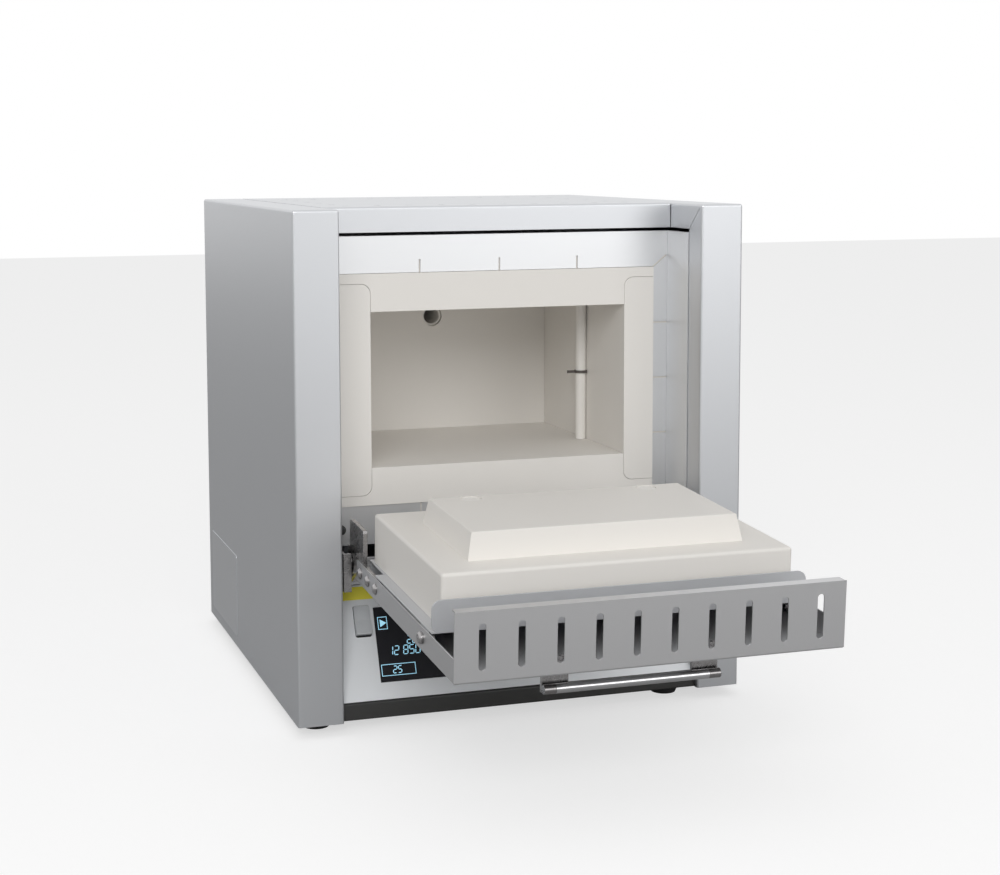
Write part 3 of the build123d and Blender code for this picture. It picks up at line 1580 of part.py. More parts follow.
# Casing
save("side_panel_left", side_panel())
save("side_panel_right", mirrored(side_panel()))
save("top_cover", top_cover())
save("rear_panel", rear_panel())
save("rear_panel_screws", rear_screws())
save("base_pan", base_pan())
feet = [Pos(x, y, 0) * foot() for x, y in foot_places()]
save("feet", feet[0] + feet[1:])
foot_screws = [Pos(x, y, 0) * foot_screw() for x, y in foot_places()]
save("foot_screws", foot_screws[0] + foot_screws[1:])
save("shelf_deck", shelf())
save("recess_side_left", recess_side())
save("recess_side_right", mirrored(recess_side()))
save("face_plate", face_plate())
save("blank_plate", blank_plate())

# Muffle
save("muffle_case", muffle_case())
save("case_supports", case_supports())
save("backing_boards", backing_boards())
save("muffle_roof", roof_with_tube_hole())
save("muffle_floor", muffle_floor())
save("muffle_back", muffle_back())
save("heater_module_left", heater_module())
save("heater_module_right", mirrored(heater_module()))
save("heating_strips", pair(heating_strips()))
save("heating_terminals", heating_terminals())
save("sensor_tube", sensor_tube())
save("thermocouple", thermocouple())
save("tube_clip", tube_clip())
save("exhaust_tube", exhaust_tube())
save("exhaust_flange", exhaust_flange())

# Controls
save("control_panel", control_panel())
save("display_window", display_window())
save("control_unit", control_unit())
save("accent_strip", accent_strip())
save("switch_body", switch_body())
save("switch_rocker", rocker())
save("power_relay", power_relay())
save("terminal_strip", terminal_strip())
save("cable_gland", cable_gland())

# Hinges
save("hinge_bracket_left", hinge_bracket())
save("hinge_bracket_right", mirrored(hinge_bracket()))
save("bracket_screws", pair(bracket_screws()))
save("hinge_pins", pair(hinge_pin()))
save("door_bumpers", pair(bumper()))

# Door, drawn shut and saved open
save("door_shell", opened(door_shell()))
save("door_tray", opened(door_tray()))
save("door_block", opened(door_block()))
save("door_plug", opened(door_plug()))
save("plug_anchors", opened(plug_anchors()))
save("hinge_lever_left", opened(build_lever()))
save("hinge_lever_right", opened(mirrored(build_lever())))
save("lever_rivets", opened(pair(lever_rivets())))
save("tray_screws", opened(pair(tray_screw())))
save("handle_bar", opened(handle_bar()))
save("handle_straps", opened(handle_straps()))
save("handle_screws", opened(handle_screws()))
save("handle_caps", opened(handle_caps()))
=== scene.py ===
import logging
import math
from dataclasses import dataclass, field
from enum import Enum
from typing import Sequence

import bpy
from mathutils import Matrix, Vector


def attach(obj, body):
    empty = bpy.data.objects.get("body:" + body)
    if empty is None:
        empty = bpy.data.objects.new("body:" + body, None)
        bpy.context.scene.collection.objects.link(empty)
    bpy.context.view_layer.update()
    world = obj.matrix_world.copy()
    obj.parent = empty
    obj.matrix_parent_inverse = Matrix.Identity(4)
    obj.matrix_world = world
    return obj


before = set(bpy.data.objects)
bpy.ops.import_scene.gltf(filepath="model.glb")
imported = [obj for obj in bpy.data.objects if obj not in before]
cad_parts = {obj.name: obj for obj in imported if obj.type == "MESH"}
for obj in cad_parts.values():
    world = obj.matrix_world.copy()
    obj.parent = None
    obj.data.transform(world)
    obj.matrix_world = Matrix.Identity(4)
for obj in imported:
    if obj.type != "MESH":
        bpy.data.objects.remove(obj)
LOG = logging.getLogger("furnace")
Point = tuple[float, float, float]
Colour = tuple[float, float, float]
PILLAR_Y = -0.073083
CASE_FOOT_Z = 0.009
NOISE_LOW = 0.3
NOISE_HIGH = 0.7
OCCLUSION_LOW = 0.15
OCCLUSION_HIGH = 0.85
RAY_SAMPLES = 4


class Grain(Enum):
    """Direction of the brushing on a steel sheet, as a Mapping scale per axis."""

    ALONG_X = (7.0, 900.0, 900.0)
    ALONG_Y = (900.0, 7.0, 900.0)
    ALONG_Z = (900.0, 900.0, 7.0)
    ROLLED = (260.0, 260.0, 260.0)


class Graph:
    """A material's node tree, with short calls to add and join nodes."""

    def __init__(self, name: str) -> None:
        """Start a material with an empty tree.

        Args:
            name: The material's name.
        """
        self.material = bpy.data.materials.new(name)
        self.material.use_nodes = True
        self.tree = self.material.node_tree
        self.tree.nodes.clear()

    def add(self, kind: str, **values: object) -> bpy.types.Node:
        """Add one node.

        Args:
            kind: The node's type name.
            values: Attributes to set on it.

        Returns:
            The new node.
        """
        node = self.tree.nodes.new(kind)
        for key, value in values.items():
            setattr(node, key, value)
        return node

    def join(self, source: bpy.types.NodeSocket, target: bpy.types.NodeSocket) -> None:
        """Link an output socket to an input socket."""
        self.tree.links.new(source, target)

    def coordinates(self, scale: Point) -> bpy.types.NodeSocket:
        """Object coordinates, stretched per axis.

        Args:
            scale: Scale along X, Y and Z, per metre.

        Returns:
            The stretched coordinates.
        """
        place = self.add("ShaderNodeTexCoord")
        mapping = self.add("ShaderNodeMapping")
        mapping.inputs["Scale"].default_value = scale
        self.join(place.outputs["Object"], mapping.inputs["Vector"])
        return mapping.outputs["Vector"]

    def noise(self, scale: Point, detail: float = 2.0, rough: float = 0.5) -> bpy.types.NodeSocket:
        """Soft noise over the object's own coordinates.

        Args:
            scale: Stretch along X, Y and Z, per metre.
            detail: Number of finer layers.
            rough: Strength of the finer layers.

        Returns:
            The noise value, about 0.5 in the middle.
        """
        node = self.add("ShaderNodeTexNoise")
        node.inputs["Scale"].default_value = 1.0
        node.inputs["Detail"].default_value = detail
        node.inputs["Roughness"].default_value = rough
        self.join(self.coordinates(scale), node.inputs["Vector"])
        return node.outputs["Fac"]

    def ramp(self, value: bpy.types.NodeSocket, low: float, high: float) -> bpy.types.NodeSocket:
        """Turn the middle range of a noise into another range.

        Args:
            value: The noise.
            low: Result at NOISE_LOW and below.
            high: Result at NOISE_HIGH and above.

        Returns:
            The new value.
        """
        node = self.add("ShaderNodeMapRange")
        node.inputs["From Min"].default_value = NOISE_LOW
        node.inputs["From Max"].default_value = NOISE_HIGH
        node.inputs["To Min"].default_value = low
        node.inputs["To Max"].default_value = high
        self.join(value, node.inputs["Value"])
        return node.outputs["Result"]

    def painted_cavity_shade(self, reach: float, dark: float) -> bpy.types.NodeSocket:
        """Painted shade in narrow places: ambient occlusion darkens the colour there.

        Args:
            reach: How far the surface looks for others, in metres.
            dark: The value in the deepest places.

        Returns:
            A value from dark to 1.
        """
        shade = self.add("ShaderNodeAmbientOcclusion", samples=RAY_SAMPLES)
        shade.inputs["Distance"].default_value = reach
        node = self.add("ShaderNodeMapRange")
        node.inputs["From Min"].default_value = OCCLUSION_LOW
        node.inputs["From Max"].default_value = OCCLUSION_HIGH
        node.inputs["To Min"].default_value = dark
        self.join(shade.outputs["AO"], node.inputs["Value"])
        return node.outputs["Result"]

    def product(self, *factors: bpy.types.NodeSocket) -> bpy.types.NodeSocket:
        """Multiply values.

        Args:
            factors: Two or more values.

        Returns:
            Their product.
        """
        result = factors[0]
        for factor in factors[1:]:
            node = self.add("ShaderNodeMath", operation="MULTIPLY")
            self.join(result, node.inputs[0])
            self.join(factor, node.inputs[1])
            result = node.outputs[0]
        return result

    def tint(self, colour: Colour, factor: bpy.types.NodeSocket) -> bpy.types.NodeSocket:
        """Multiply a colour by a value.

        Args:
            colour: The plain colour.
            factor: The value, about 1.

        Returns:
            The varied colour.
        """
        node = self.add("ShaderNodeVectorMath", operation="SCALE")
        node.inputs[0].default_value = colour
        self.join(factor, node.inputs["Scale"])
        return node.outputs["Vector"]

    def relief(
        self, height: bpy.types.NodeSocket, depth: float, edge: float
    ) -> bpy.types.NodeSocket:
        """Surface relief over softened edges.

        Args:
            height: The height pattern.
            depth: The relief's depth in metres.
            edge: Radius of the softened edges in metres.

        Returns:
            The normal.
        """
        bump = self.add("ShaderNodeBump")
        bump.inputs["Distance"].default_value = depth
        self.join(height, bump.inputs["Height"])
        if edge > 0.0:
            soft = self.add("ShaderNodeBevel", samples=RAY_SAMPLES)
            soft.inputs["Radius"].default_value = edge
            self.join(soft.outputs["Normal"], bump.inputs["Normal"])
        return bump.outputs["Normal"]

    def surface(self, **sockets: object) -> bpy.types.Material:
        """Finish the material with one shader.

        Args:
            sockets: Socket names with underscores, each with a value or a link.

        Returns:
            The material.
        """
        shader = self.add("ShaderNodeBsdfPrincipled")
        output = self.add("ShaderNodeOutputMaterial")
        for key, value in sockets.items():
            target = shader.inputs[key.replace("_", " ")]
            if isinstance(value, bpy.types.NodeSocket):
                self.join(value, target)
            elif isinstance(value, tuple):
                target.default_value = (*value, 1.0)
            else:
                target.default_value = value
        self.join(shader.outputs["BSDF"], output.inputs["Surface"])
        return self.material


@dataclass(frozen=True)
class SteelSheet:
    """Brushed or rolled stainless sheet."""

    name: str
    colour: Colour
    roughness: float = 0.36
    grain: Grain = Grain.ALONG_Z
    streak: float = 0.05
    metallic: float = 1.0
    reach: float = 0.02
    dark: float = 0.25
    cloud_scale: float = 9.0
    relief_depth: float = 0.00003
    edge: float = 0.0005

    def material(self) -> bpy.types.Material:
        """Sheet with fine streaks, faint clouds, painted shade in narrow places and softened edges.
        """
        graph = Graph(self.name)
        fine = graph.noise(self.grain.value, 3.0, 0.6)
        clouds = graph.noise((self.cloud_scale,) * 3, 2.0)
        shade = graph.product(
            graph.ramp(fine, 1.0 - self.streak, 1.0 + self.streak),
            graph.ramp(clouds, 0.975, 1.02),
            # Painted shade: ambient occlusion darkens the sheet's colour near other surfaces.
            graph.painted_cavity_shade(self.reach, self.dark),
        )
        return graph.surface(
            Base_Color=graph.tint(self.colour, shade),
            Metallic=self.metallic,
            Roughness=graph.ramp(fine, self.roughness - 0.05, self.roughness + 0.06),
            Normal=graph.relief(fine, self.relief_depth, self.edge),
        )


@dataclass(frozen=True)
class Fibre:
    """Vacuum-formed ceramic fibre with a dry, faintly mottled skin."""

    name: str
    colour: Colour
    grain: float = 620.0
    mottle: float = 0.035
    edge: float = 0.0012
    cloud_scale: float = 26.0
    pit_scale: float = 190.0
    pit_edges: tuple[float, float] = (0.02, 0.14)
    skin_share: float = 0.7
    relief_depth: float = 0.00022

    def material(self) -> bpy.types.Material:
        """Matt block with soft mottling, small pits, painted shade in narrow places and rounded
        edges.
        """
        graph = Graph(self.name)
        cloud = graph.noise((self.cloud_scale,) * 3, 4.0, 0.6)
        skin = graph.noise((self.grain,) * 3, 3.0, 0.65)
        drag = graph.noise((60.0, 60.0, 420.0), 2.0)
        pits = graph.add("ShaderNodeTexVoronoi", feature="F1")
        pits.inputs["Scale"].default_value = 1.0
        graph.join(graph.coordinates((self.pit_scale,) * 3), pits.inputs["Vector"])
        pitted = graph.add("ShaderNodeMapRange")
        pitted.inputs["From Min"].default_value = self.pit_edges[0]
        pitted.inputs["From Max"].default_value = self.pit_edges[1]
        graph.join(pits.outputs["Distance"], pitted.inputs["Value"])
        shade = graph.product(
            graph.ramp(cloud, 1.0 - self.mottle, 1.0 + self.mottle / 2),
            graph.ramp(skin, 0.985, 1.01),
            # Painted shade: ambient occlusion darkens the fibre's colour in narrow places.
            graph.painted_cavity_shade(0.006, 0.75),
        )
        rough = graph.add("ShaderNodeMath", operation="MULTIPLY_ADD")
        graph.join(skin, rough.inputs[0])
        rough.inputs[1].default_value = self.skin_share
        graph.join(drag, rough.inputs[2])
        relief = graph.add("ShaderNodeMath", operation="MULTIPLY")
        graph.join(rough.outputs[0], relief.inputs[0])
        graph.join(pitted.outputs["Result"], relief.inputs[1])
        return graph.surface(
            Base_Color=graph.tint(self.colour, shade),
            Roughness=graph.ramp(skin, 0.86, 0.96),
            Specular_IOR_Level=0.25,
            Normal=graph.relief(relief.outputs[0], self.relief_depth, self.edge),
        )


@dataclass(frozen=True)
class Coat:
    """Painted, moulded or rubber surface."""

    name: str
    colour: Colour
    roughness: float = 0.42
    texture: float = 1400.0
    depth: float = 0.00002
    metallic: float = 0.0
    specular: float = 0.5
    edge: float = 0.0005
    cloud_scale: float = 14.0

    def material(self) -> bpy.types.Material:
        """Even coat with a fine texture and soft edges."""
        graph = Graph(self.name)
        skin = graph.noise((self.texture,) * 3, 2.0)
        cloud = graph.noise((self.cloud_scale,) * 3, 2.0)
        return graph.surface(
            Base_Color=graph.tint(self.colour, graph.ramp(cloud, 0.975, 1.015)),
            Metallic=self.metallic,
            Roughness=graph.ramp(skin, self.roughness - 0.04, self.roughness + 0.05),
            Specular_IOR_Level=self.specular,
            Normal=graph.relief(skin, self.depth, self.edge),
        )


@dataclass(frozen=True)
class Lit:
    """Lit mark of the display."""

    name: str
    colour: Colour
    power: float = 0.8
    cloud_scale: float = 60.0

    def material(self) -> bpy.types.Material:
        """Evenly lit mark with a slightly uneven back light."""
        graph = Graph(self.name)
        glow = graph.noise((self.cloud_scale,) * 3, 1.0)
        lit = graph.tint(self.colour, graph.ramp(glow, 0.85, 1.0))
        return graph.surface(
            Base_Color=lit, Roughness=0.5, Emission_Color=lit, Emission_Strength=self.power
        )


class Finish(Enum):
    """The finishes of the furnace."""

    CASE = SteelSheet("case_steel", (0.37, 0.375, 0.385), 0.34, Grain.ALONG_Z, 0.035)
    RECESS = SteelSheet("recess_steel", (0.52, 0.53, 0.55), 0.3, Grain.ALONG_X, 0.08)
    # Door steel carries strong painted shade: within 3 cm of other surfaces its colour falls
    # towards 0.02, which blackens the shell's inside behind the slots.
    DOOR = SteelSheet(
        "door_steel", (0.35, 0.345, 0.35), 0.32, Grain.ALONG_X, 0.05, reach=0.03, dark=0.02
    )
    REAR = SteelSheet("rear_steel", (0.4, 0.41, 0.42), 0.42, Grain.ROLLED, 0.03)
    FITTING = SteelSheet("fitting_steel", (0.42, 0.41, 0.41), 0.28, Grain.ROLLED, 0.06, reach=0.008)
    BAR = SteelSheet("bar_steel", (0.6, 0.6, 0.61), 0.18, Grain.ALONG_X, 0.04, reach=0.004)
    SLEEVE = SteelSheet("sleeve_steel", (0.3, 0.29, 0.29), 0.22, Grain.ALONG_X, 0.04, reach=0.004)
    STRIP = SteelSheet("heating_alloy", (0.14, 0.12, 0.11), 0.55, Grain.ROLLED, 0.12)
    FOIL = SteelSheet("plate_foil", (0.46, 0.47, 0.49), 0.3, Grain.ALONG_Y, 0.02)
    FIBRE = Fibre("fibre", (0.82, 0.775, 0.735))
    BOARD = Fibre("board", (0.72, 0.69, 0.64), 300.0, 0.06)
    OXIDE = Coat("oxide", (0.84, 0.81, 0.77), 0.5, 700.0, 0.00004)
    TRAY = Coat("tray_coat", (0.6, 0.61, 0.63), 0.4, 900.0, metallic=0.3)
    PANEL = Coat("panel_paint", (0.7, 0.71, 0.75), 0.38)
    ACCENT = Coat("accent_yellow", (0.95, 0.86, 0.03), 0.4)
    BASE = Coat("base_paint", (0.07, 0.07, 0.068), 0.36, metallic=0.5)
    GLASS = Coat("display_glass", (0.004, 0.005, 0.006), 0.12, 200.0, 0.000002, specular=0.2)
    ROCKER = Coat("rocker_plastic", (0.58, 0.59, 0.62), 0.3)
    BLACK = Coat("black_plastic", (0.02, 0.02, 0.02), 0.45, 900.0)
    WHITE = Coat("white_plastic", (0.68, 0.68, 0.66), 0.45, 900.0)
    RUBBER = Coat("rubber", (0.012, 0.012, 0.012), 0.7, 700.0, 0.00006, specular=0.2)
    WIRE = Coat("dark_wire", (0.05, 0.045, 0.04), 0.5, 900.0, metallic=0.5)
    GLYPH = Lit("display_glyph", (0.32, 0.62, 0.78))

    @property
    def built(self) -> bpy.types.Material:
        """The finish's material, made once."""
        found = bpy.data.materials.get(self.value.name)
        return found if found is not None else self.value.material()


def dress(finish: Finish, *nodes: str) -> None:
    """Give CAD nodes a finish.

    Args:
        finish: The finish.
        nodes: The nodes' names.
    """
    for name in nodes:
        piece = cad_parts[name]
        slots = piece.data.materials
        slots.clear()
        slots.append(finish.built)
        LOG.info("dressed %s with %s", name, finish.value.name)


def deselect() -> None:
    """Leave edit mode and deselect everything."""
    if bpy.context.object is not None and bpy.context.object.mode != "OBJECT":
        bpy.ops.object.mode_set(mode="OBJECT")
    bpy.ops.object.select_all(action="DESELECT")


def activate(piece: bpy.types.Object) -> None:
    """Make one piece the only selected and active one."""
    deselect()
    piece.select_set(True)
    bpy.context.view_layer.objects.active = piece


def bake_place(piece: bpy.types.Object) -> None:
    """Put a piece's place, turn and size into its mesh."""
    activate(piece)
    bpy.ops.object.transform_apply(location=True, rotation=True, scale=True)


def join(pieces: Sequence[bpy.types.Object], name: str) -> bpy.types.Object:
    """Join copies into one piece.

    Args:
        pieces: The copies.
        name: The joined piece's name.

    Returns:
        The joined piece.
    """
    deselect()
    for piece in pieces:
        piece.select_set(True)
    bpy.context.view_layer.objects.active = pieces[0]
    bpy.ops.object.join()
    pieces[0].name = name
    return pieces[0]


def copy_to(piece: bpy.types.Object, place: Matrix) -> bpy.types.Object:
    """Copy a piece to another place.

    Args:
        piece: The piece, drawn at the origin.
        place: Where the copy goes.

    Returns:
        The copy, with its own mesh and its place in it.
    """
    made = piece.copy()
    made.data = piece.data.copy()
    bpy.context.scene.collection.objects.link(made)
    made.data.transform(place)
    return made


def set_on(piece: bpy.types.Object, body: str, finish: Finish) -> None:
    """Finish a new piece and let it ride on a body.

    Args:
        piece: The piece.
        body: The body's name.
        finish: Its finish.
    """
    piece.data.materials.clear()
    piece.data.materials.append(finish.built)
    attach(piece, body)
    LOG.info("built %s on %s", piece.name, body)


class Casing:
    """Folded steel casing with its base, top, back and feet."""

    def dress(self) -> None:
        """Give the casing's nodes their finishes."""
        dress(Finish.CASE, "side_panel_left", "side_panel_right", "top_cover")
        dress(Finish.RECESS, "recess_side_left", "recess_side_right", "face_plate")
        dress(Finish.REAR, "rear_panel", "shelf_deck", "case_supports")
        dress(Finish.BASE, "base_pan")
        dress(Finish.RUBBER, "feet")
        dress(Finish.FITTING, "foot_screws", "rear_panel_screws")
        dress(Finish.FOIL, "blank_plate")

    def build(self) -> None:
        """Dress the casing."""
        self.dress()


class Muffle:
    """Fibre-lined chamber with its heating strips, sensor and exhaust."""

    def dress(self) -> None:
        """Give the muffle's nodes their finishes."""
        dress(Finish.FIBRE, "muffle_roof", "muffle_floor", "muffle_back")
        dress(Finish.FIBRE, "heater_module_left", "heater_module_right")
        dress(Finish.BOARD, "backing_boards")
        dress(Finish.REAR, "muffle_case")
        dress(Finish.STRIP, "heating_strips")
        dress(Finish.FITTING, "heating_terminals", "thermocouple", "exhaust_flange")
        dress(Finish.OXIDE, "sensor_tube", "exhaust_tube")
        dress(Finish.WIRE, "tube_clip")

    def build(self) -> None:
        """Dress the muffle."""
        self.dress()


class Segment(Enum):
    """Bars of a seven-bar digit: middle across, middle up and whether it is upright."""

    TOP = (0.0, 1.0, False)
    MIDDLE = (0.0, 0.0, False)
    BOTTOM = (0.0, -1.0, False)
    UPPER_LEFT = (-1.0, 0.5, True)
    UPPER_RIGHT = (1.0, 0.5, True)
    LOWER_LEFT = (-1.0, -0.5, True)
    LOWER_RIGHT = (1.0, -0.5, True)


DIGITS: dict[str, str] = {
    "0": "TOP BOTTOM UPPER_LEFT UPPER_RIGHT LOWER_LEFT LOWER_RIGHT",
    "1": "UPPER_RIGHT LOWER_RIGHT",
    "2": "TOP MIDDLE BOTTOM UPPER_RIGHT LOWER_LEFT",
    "3": "TOP MIDDLE BOTTOM UPPER_RIGHT LOWER_RIGHT",
    "4": "MIDDLE UPPER_LEFT UPPER_RIGHT LOWER_RIGHT",
    "5": "TOP MIDDLE BOTTOM UPPER_LEFT LOWER_RIGHT",
    "6": "TOP MIDDLE BOTTOM UPPER_LEFT LOWER_LEFT LOWER_RIGHT",
    "8": "TOP MIDDLE BOTTOM UPPER_LEFT UPPER_RIGHT LOWER_LEFT LOWER_RIGHT",
}


@dataclass
class ControlBay:
    """Sloped fascia with the display, the rocker switch and the parts behind them."""

    foot: Point = (0.0, PILLAR_Y + 0.008, CASE_FOOT_Z + 0.0142)
    rise: float = 0.0868
    run: float = 0.0374
    face: float = 0.00032
    bar_w: float = 0.0007
    bar_t: float = 0.0001
    tip_l: float = 0.45
    tip_w: float = 0.15
    lean: float = 0.12
    digit_half_w: float = 0.52
    digit_pitch: float = 0.74
    upright_l: float = 0.98
    flat_l: float = 1.9
    frame_w: float = 0.7
    upper_frame: tuple[float, float, float, float] = (-0.1179, 0.0565, 0.0080, 0.0104)
    lower_frame: tuple[float, float, float, float] = (-0.1190, 0.0185, 0.0290, 0.0095)
    play_mark: Point = (-0.1142, 0.0617, 0.0062)
    rows: list[tuple[str, float, float, float]] = field(
        default_factory=lambda: [
            ("20", -0.0945, 0.0435, 0.0062),
            ("850", -0.0985, 0.0352, 0.0070),
            ("12", -0.1115, 0.0352, 0.0070),
            ("0845", -0.0300, 0.0435, 0.0062),
            ("60", -0.0300, 0.0340, 0.0062),
            ("25", -0.1090, 0.0205, 0.0056),
        ]
    )

    @property
    def plane(self) -> Matrix:
        """Frame of the sloped fascia: X across, Y up the slope and Z out of it."""
        length = math.hypot(self.rise, self.run)
        up = Vector((0.0, self.run / length, self.rise / length))
        across = Vector((1.0, 0.0, 0.0))
        out = across.cross(up)
        turn = Matrix((across, up, out)).transposed().to_4x4()
        return Matrix.Translation(self.foot) @ turn

    def dress(self) -> None:
        """Give the bay's nodes their finishes."""
        dress(Finish.PANEL, "control_panel")
        dress(Finish.GLASS, "display_window")
        dress(Finish.ACCENT, "accent_strip")
        dress(Finish.ROCKER, "switch_rocker")
        dress(Finish.BLACK, "control_unit", "switch_body", "power_relay", "cable_gland")
        dress(Finish.WHITE, "terminal_strip")

    def bar(self, length: float) -> bpy.types.Object:
        """One flat bar with pointed ends, drawn along X.

        Args:
            length: The bar's length.

        Returns:
            The bar.
        """
        deselect()
        bpy.ops.mesh.primitive_cube_add(size=1.0)
        piece = bpy.context.object
        piece.scale = (length - 1.5 * self.bar_w, self.bar_w, self.bar_t)
        bake_place(piece)
        bpy.ops.object.mode_set(mode="EDIT")
        bpy.ops.mesh.select_mode(type="FACE")
        for side in (-1.0, 1.0):
            bpy.ops.mesh.select_all(action="DESELECT")
            bpy.ops.object.mode_set(mode="OBJECT")
            for face in piece.data.polygons:
                face.select = face.normal.x * side > 0.9
            bpy.ops.object.mode_set(mode="EDIT")
            bpy.ops.mesh.extrude_region_move(
                TRANSFORM_OT_translate={"value": (side * self.bar_w * self.tip_l, 0.0, 0.0)}
            )
            bpy.ops.transform.resize(value=(1.0, self.tip_w, 1.0))
        bpy.ops.object.mode_set(mode="OBJECT")
        return piece

    def digit(self, text: str, x: float, y: float, height: float) -> list[bpy.types.Object]:
        """The bars of a row of digits on the display.

        Args:
            text: The digits.
            x: Left edge across the fascia.
            y: Foot up the slope.
            height: Height of the digits.

        Returns:
            One piece per bar.
        """
        half = height / 2
        across = half * self.digit_half_w
        pitch = height * self.digit_pitch
        tall = self.bar(half * self.upright_l)
        flat = self.bar(across * self.flat_l)
        slant = Matrix.Identity(4)
        slant[0][1] = self.lean
        bars = []
        for count, letter in enumerate(text):
            centre = Vector((x + across + count * pitch, y + half, self.face))
            for name in DIGITS[letter].split():
                side, level, upright = Segment[name].value
                turn = Matrix.Rotation(math.pi / 2, 4, "Z") if upright else Matrix.Identity(4)
                shift = Matrix.Translation((side * across, level * half, 0.0))
                place = self.plane @ Matrix.Translation(centre) @ slant @ shift @ turn
                bars.append(copy_to(tall if upright else flat, place))
        bpy.data.objects.remove(tall)
        bpy.data.objects.remove(flat)
        return bars

    def frame_mark(self, x: float, y: float, w: float, h: float) -> bpy.types.Object:
        """Thin rectangular outline on the display.

        Args:
            x: Left edge.
            y: Foot.
            w: Width.
            h: Height.

        Returns:
            The outline.
        """
        deselect()
        bpy.ops.mesh.primitive_plane_add(size=1.0)
        piece = bpy.context.object
        piece.scale = (w, h, 1.0)
        bake_place(piece)
        bpy.ops.object.mode_set(mode="EDIT")
        bpy.ops.mesh.select_all(action="SELECT")
        bpy.ops.mesh.inset(thickness=self.bar_w * self.frame_w)
        bpy.ops.mesh.delete(type="FACE")
        bpy.ops.mesh.select_all(action="SELECT")
        bpy.ops.mesh.extrude_region_move(TRANSFORM_OT_translate={"value": (0.0, 0.0, self.bar_t)})
        bpy.ops.mesh.select_all(action="SELECT")
        bpy.ops.mesh.normals_make_consistent(inside=False)
        bpy.ops.object.mode_set(mode="OBJECT")
        middle = (x + w / 2, y + h / 2, self.face - self.bar_t / 2)
        piece.data.transform(self.plane @ Matrix.Translation(middle))
        return piece

    def arrow(self, x: float, y: float, size: float) -> bpy.types.Object:
        """Solid triangle that points to the right.

        Args:
            x: Its middle across.
            y: Its middle up the slope.
            size: Its height.

        Returns:
            The triangle.
        """
        deselect()
        bpy.ops.mesh.primitive_cylinder_add(vertices=3, radius=size * 0.58, depth=self.bar_t)
        piece = bpy.context.object
        bpy.ops.object.mode_set(mode="EDIT")
        bpy.ops.mesh.select_all(action="SELECT")
        bpy.ops.mesh.bevel(offset=self.bar_t * 0.2, segments=1)
        bpy.ops.object.mode_set(mode="OBJECT")
        turn = Matrix.Rotation(-math.pi / 2, 4, "Z")
        piece.data.transform(self.plane @ Matrix.Translation((x, y, self.face)) @ turn)
        return piece

    def build(self) -> None:
        """Dress the bay and light its display."""
        self.dress()
        marks = [bar for row in self.rows for bar in self.digit(*row)]
        marks.append(self.frame_mark(*self.upper_frame))
        marks.append(self.arrow(*self.play_mark))
        marks.append(self.frame_mark(*self.lower_frame))
        glyphs = join(marks, "display_marks")
        set_on(glyphs, "casing", Finish.GLYPH)


class Door:
    """Flap door with its slotted flange, tray, insulation, hinges and handle."""

    def dress(self) -> None:
        """Give the door's nodes their finishes."""
        dress(Finish.DOOR, "door_shell")
        dress(Finish.TRAY, "door_tray")
        dress(Finish.FIBRE, "door_block", "door_plug")
        dress(Finish.OXIDE, "plug_anchors")
        dress(Finish.FITTING, "hinge_lever_left", "hinge_lever_right", "lever_rivets")
        dress(Finish.FITTING, "tray_screws", "handle_straps", "handle_screws", "hinge_pins")
        dress(Finish.FITTING, "hinge_bracket_left", "hinge_bracket_right", "bracket_screws")
        dress(Finish.BAR, "handle_bar")
        dress(Finish.SLEEVE, "handle_caps")
        dress(Finish.RUBBER, "door_bumpers")

    def build(self) -> None:
        """Dress the door."""
        self.dress()


@dataclass(frozen=True)
class Lamp:
    """Soft square lamp."""

    name: str
    place: Point
    size: float
    power: float

    def build(self, aim: Point) -> None:
        """Add the lamp to the scene.

        Args:
            aim: The point that it faces.
        """
        light = bpy.data.lights.new(self.name, "AREA")
        light.size = self.size
        light.energy = self.power
        lamp = bpy.data.objects.new(self.name, light)
        bpy.context.scene.collection.objects.link(lamp)
        lamp.location = self.place
        toward = Vector(aim) - Vector(self.place)
        lamp.rotation_euler = toward.to_track_quat("-Z", "Y").to_euler()


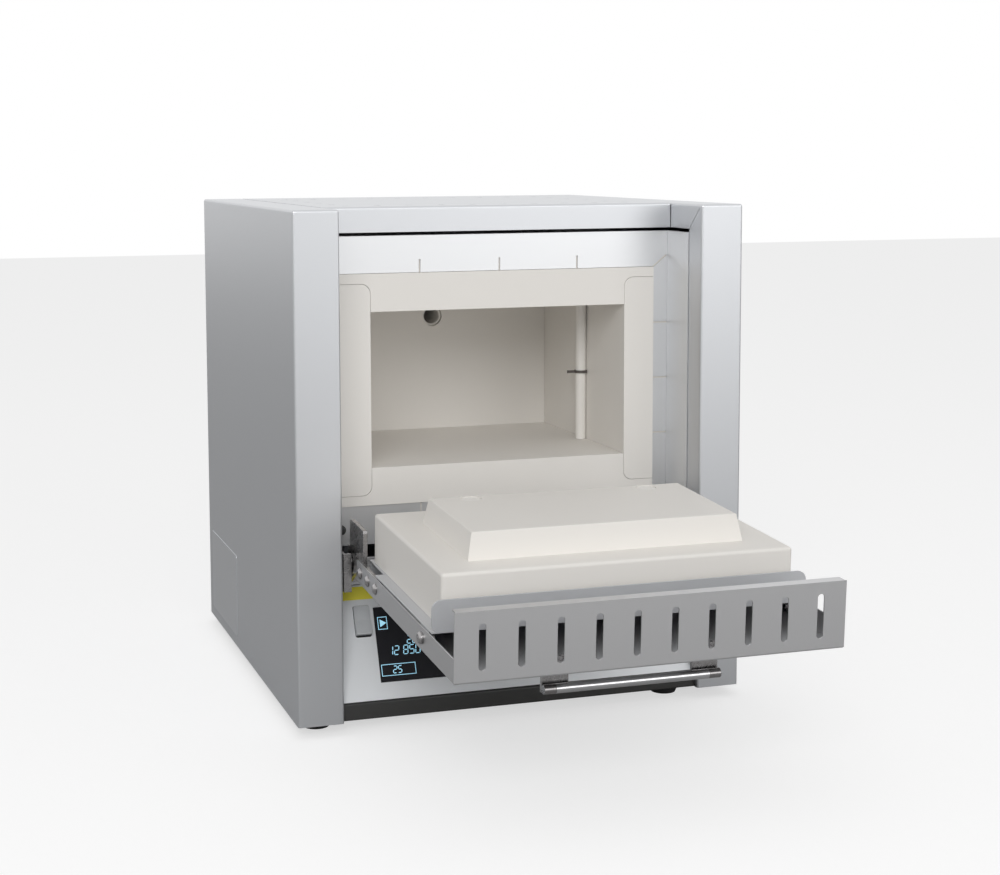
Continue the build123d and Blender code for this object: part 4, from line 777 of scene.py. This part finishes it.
@dataclass
class Studio:
    """Pale floor, soft lamps and the camera."""

    floor_size: float = 14.0
    floor_shade: float = 0.5
    floor_glow: float = 0.6
    ambient: float = 0.5
    lamps: tuple[Lamp, ...] = (
        Lamp("key", (-1.2, -2.8, 1.7), 1.4, 34.0),
        Lamp("front", (1.3, -2.6, 0.9), 1.6, 12.0),
    )
    aim: Point = (0.0, 0.0, 0.2)
    eye: Point = (-0.4991, PILLAR_Y - 1.3638, CASE_FOOT_Z + 0.4531)
    yaw: float = 17.417
    pitch: float = 5.793
    roll: float = -0.281
    lens: float = 64.87
    sensor: float = 36.0
    shift: tuple[float, float] = (0.0577, -0.1)

    def floor(self) -> None:
        """White floor that keeps the furnace's shadow."""
        deselect()
        bpy.ops.mesh.primitive_plane_add(size=self.floor_size)
        ground = bpy.context.object
        ground.name = "floor"
        graph = Graph("floor_white")
        path = graph.add("ShaderNodeLightPath")
        diffuse = graph.add("ShaderNodeBsdfDiffuse")
        diffuse.inputs["Color"].default_value = (*(self.floor_shade,) * 3, 1.0)
        glow = graph.add("ShaderNodeEmission")
        glow.inputs["Color"].default_value = (1.0, 1.0, 1.0, 1.0)
        power = graph.add("ShaderNodeMath", operation="MULTIPLY")
        power.inputs[1].default_value = self.floor_glow
        graph.join(path.outputs["Is Camera Ray"], power.inputs[0])
        graph.join(power.outputs[0], glow.inputs["Strength"])
        both = graph.add("ShaderNodeAddShader")
        output = graph.add("ShaderNodeOutputMaterial")
        graph.join(diffuse.outputs[0], both.inputs[0])
        graph.join(glow.outputs[0], both.inputs[1])
        graph.join(both.outputs[0], output.inputs["Surface"])
        ground.data.materials.append(graph.material)

    def sky(self) -> None:
        """White surroundings that light the furnace softly."""
        world = bpy.data.worlds.new("studio")
        bpy.context.scene.world = world
        world.use_nodes = True
        tree = world.node_tree
        tree.nodes.clear()
        path = tree.nodes.new("ShaderNodeLightPath")
        seen = tree.nodes.new("ShaderNodeMath")
        seen.operation = "MAXIMUM"
        tree.links.new(path.outputs["Is Camera Ray"], seen.inputs[0])
        tree.links.new(path.outputs["Is Glossy Ray"], seen.inputs[1])
        clear = tree.nodes.new("ShaderNodeMath")
        clear.operation = "MAXIMUM"
        tree.links.new(seen.outputs[0], clear.inputs[0])
        tree.links.new(path.outputs["Is Transmission Ray"], clear.inputs[1])
        power = tree.nodes.new("ShaderNodeMapRange")
        power.inputs["To Min"].default_value = self.ambient
        power.inputs["To Max"].default_value = 1.0
        tree.links.new(clear.outputs[0], power.inputs["Value"])
        back = tree.nodes.new("ShaderNodeBackground")
        back.inputs["Color"].default_value = (1.0, 1.0, 1.0, 1.0)
        tree.links.new(power.outputs["Result"], back.inputs["Strength"])
        output = tree.nodes.new("ShaderNodeOutputWorld")
        tree.links.new(back.outputs[0], output.inputs["Surface"])

    def camera(self) -> None:
        """Camera at the photograph's viewing angle."""
        data = bpy.data.cameras.new("camera")
        data.lens = self.lens
        data.sensor_width = self.sensor
        data.shift_x, data.shift_y = self.shift
        camera = bpy.data.objects.new("camera", data)
        bpy.context.scene.collection.objects.link(camera)
        level = Matrix.Rotation(math.pi / 2, 4, "X")
        turn = Matrix.Rotation(math.radians(-self.yaw), 4, "Z")
        dip = Matrix.Rotation(math.radians(-self.pitch), 4, "X")
        lean = Matrix.Rotation(math.radians(-self.roll), 4, "Y")
        camera.matrix_world = Matrix.Translation(self.eye) @ turn @ dip @ lean @ level
        bpy.context.scene.camera = camera

    def build(self) -> None:
        """Set the floor, the lamps and the camera."""
        self.floor()
        self.sky()
        for lamp in self.lamps:
            lamp.build(self.aim)
        self.camera()
        bpy.context.scene.view_settings.view_transform = "Standard"


def main() -> None:
    """Build and dress the furnace, and set up the studio."""
    logging.basicConfig(level=logging.INFO, format="%(name)s: %(message)s")
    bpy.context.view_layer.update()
    for part in (Casing(), Muffle(), ControlBay(), Door()):
        part.build()
        LOG.info("%s done", type(part).__name__)
    Studio().build()


if __name__ == "__main__":
    main()
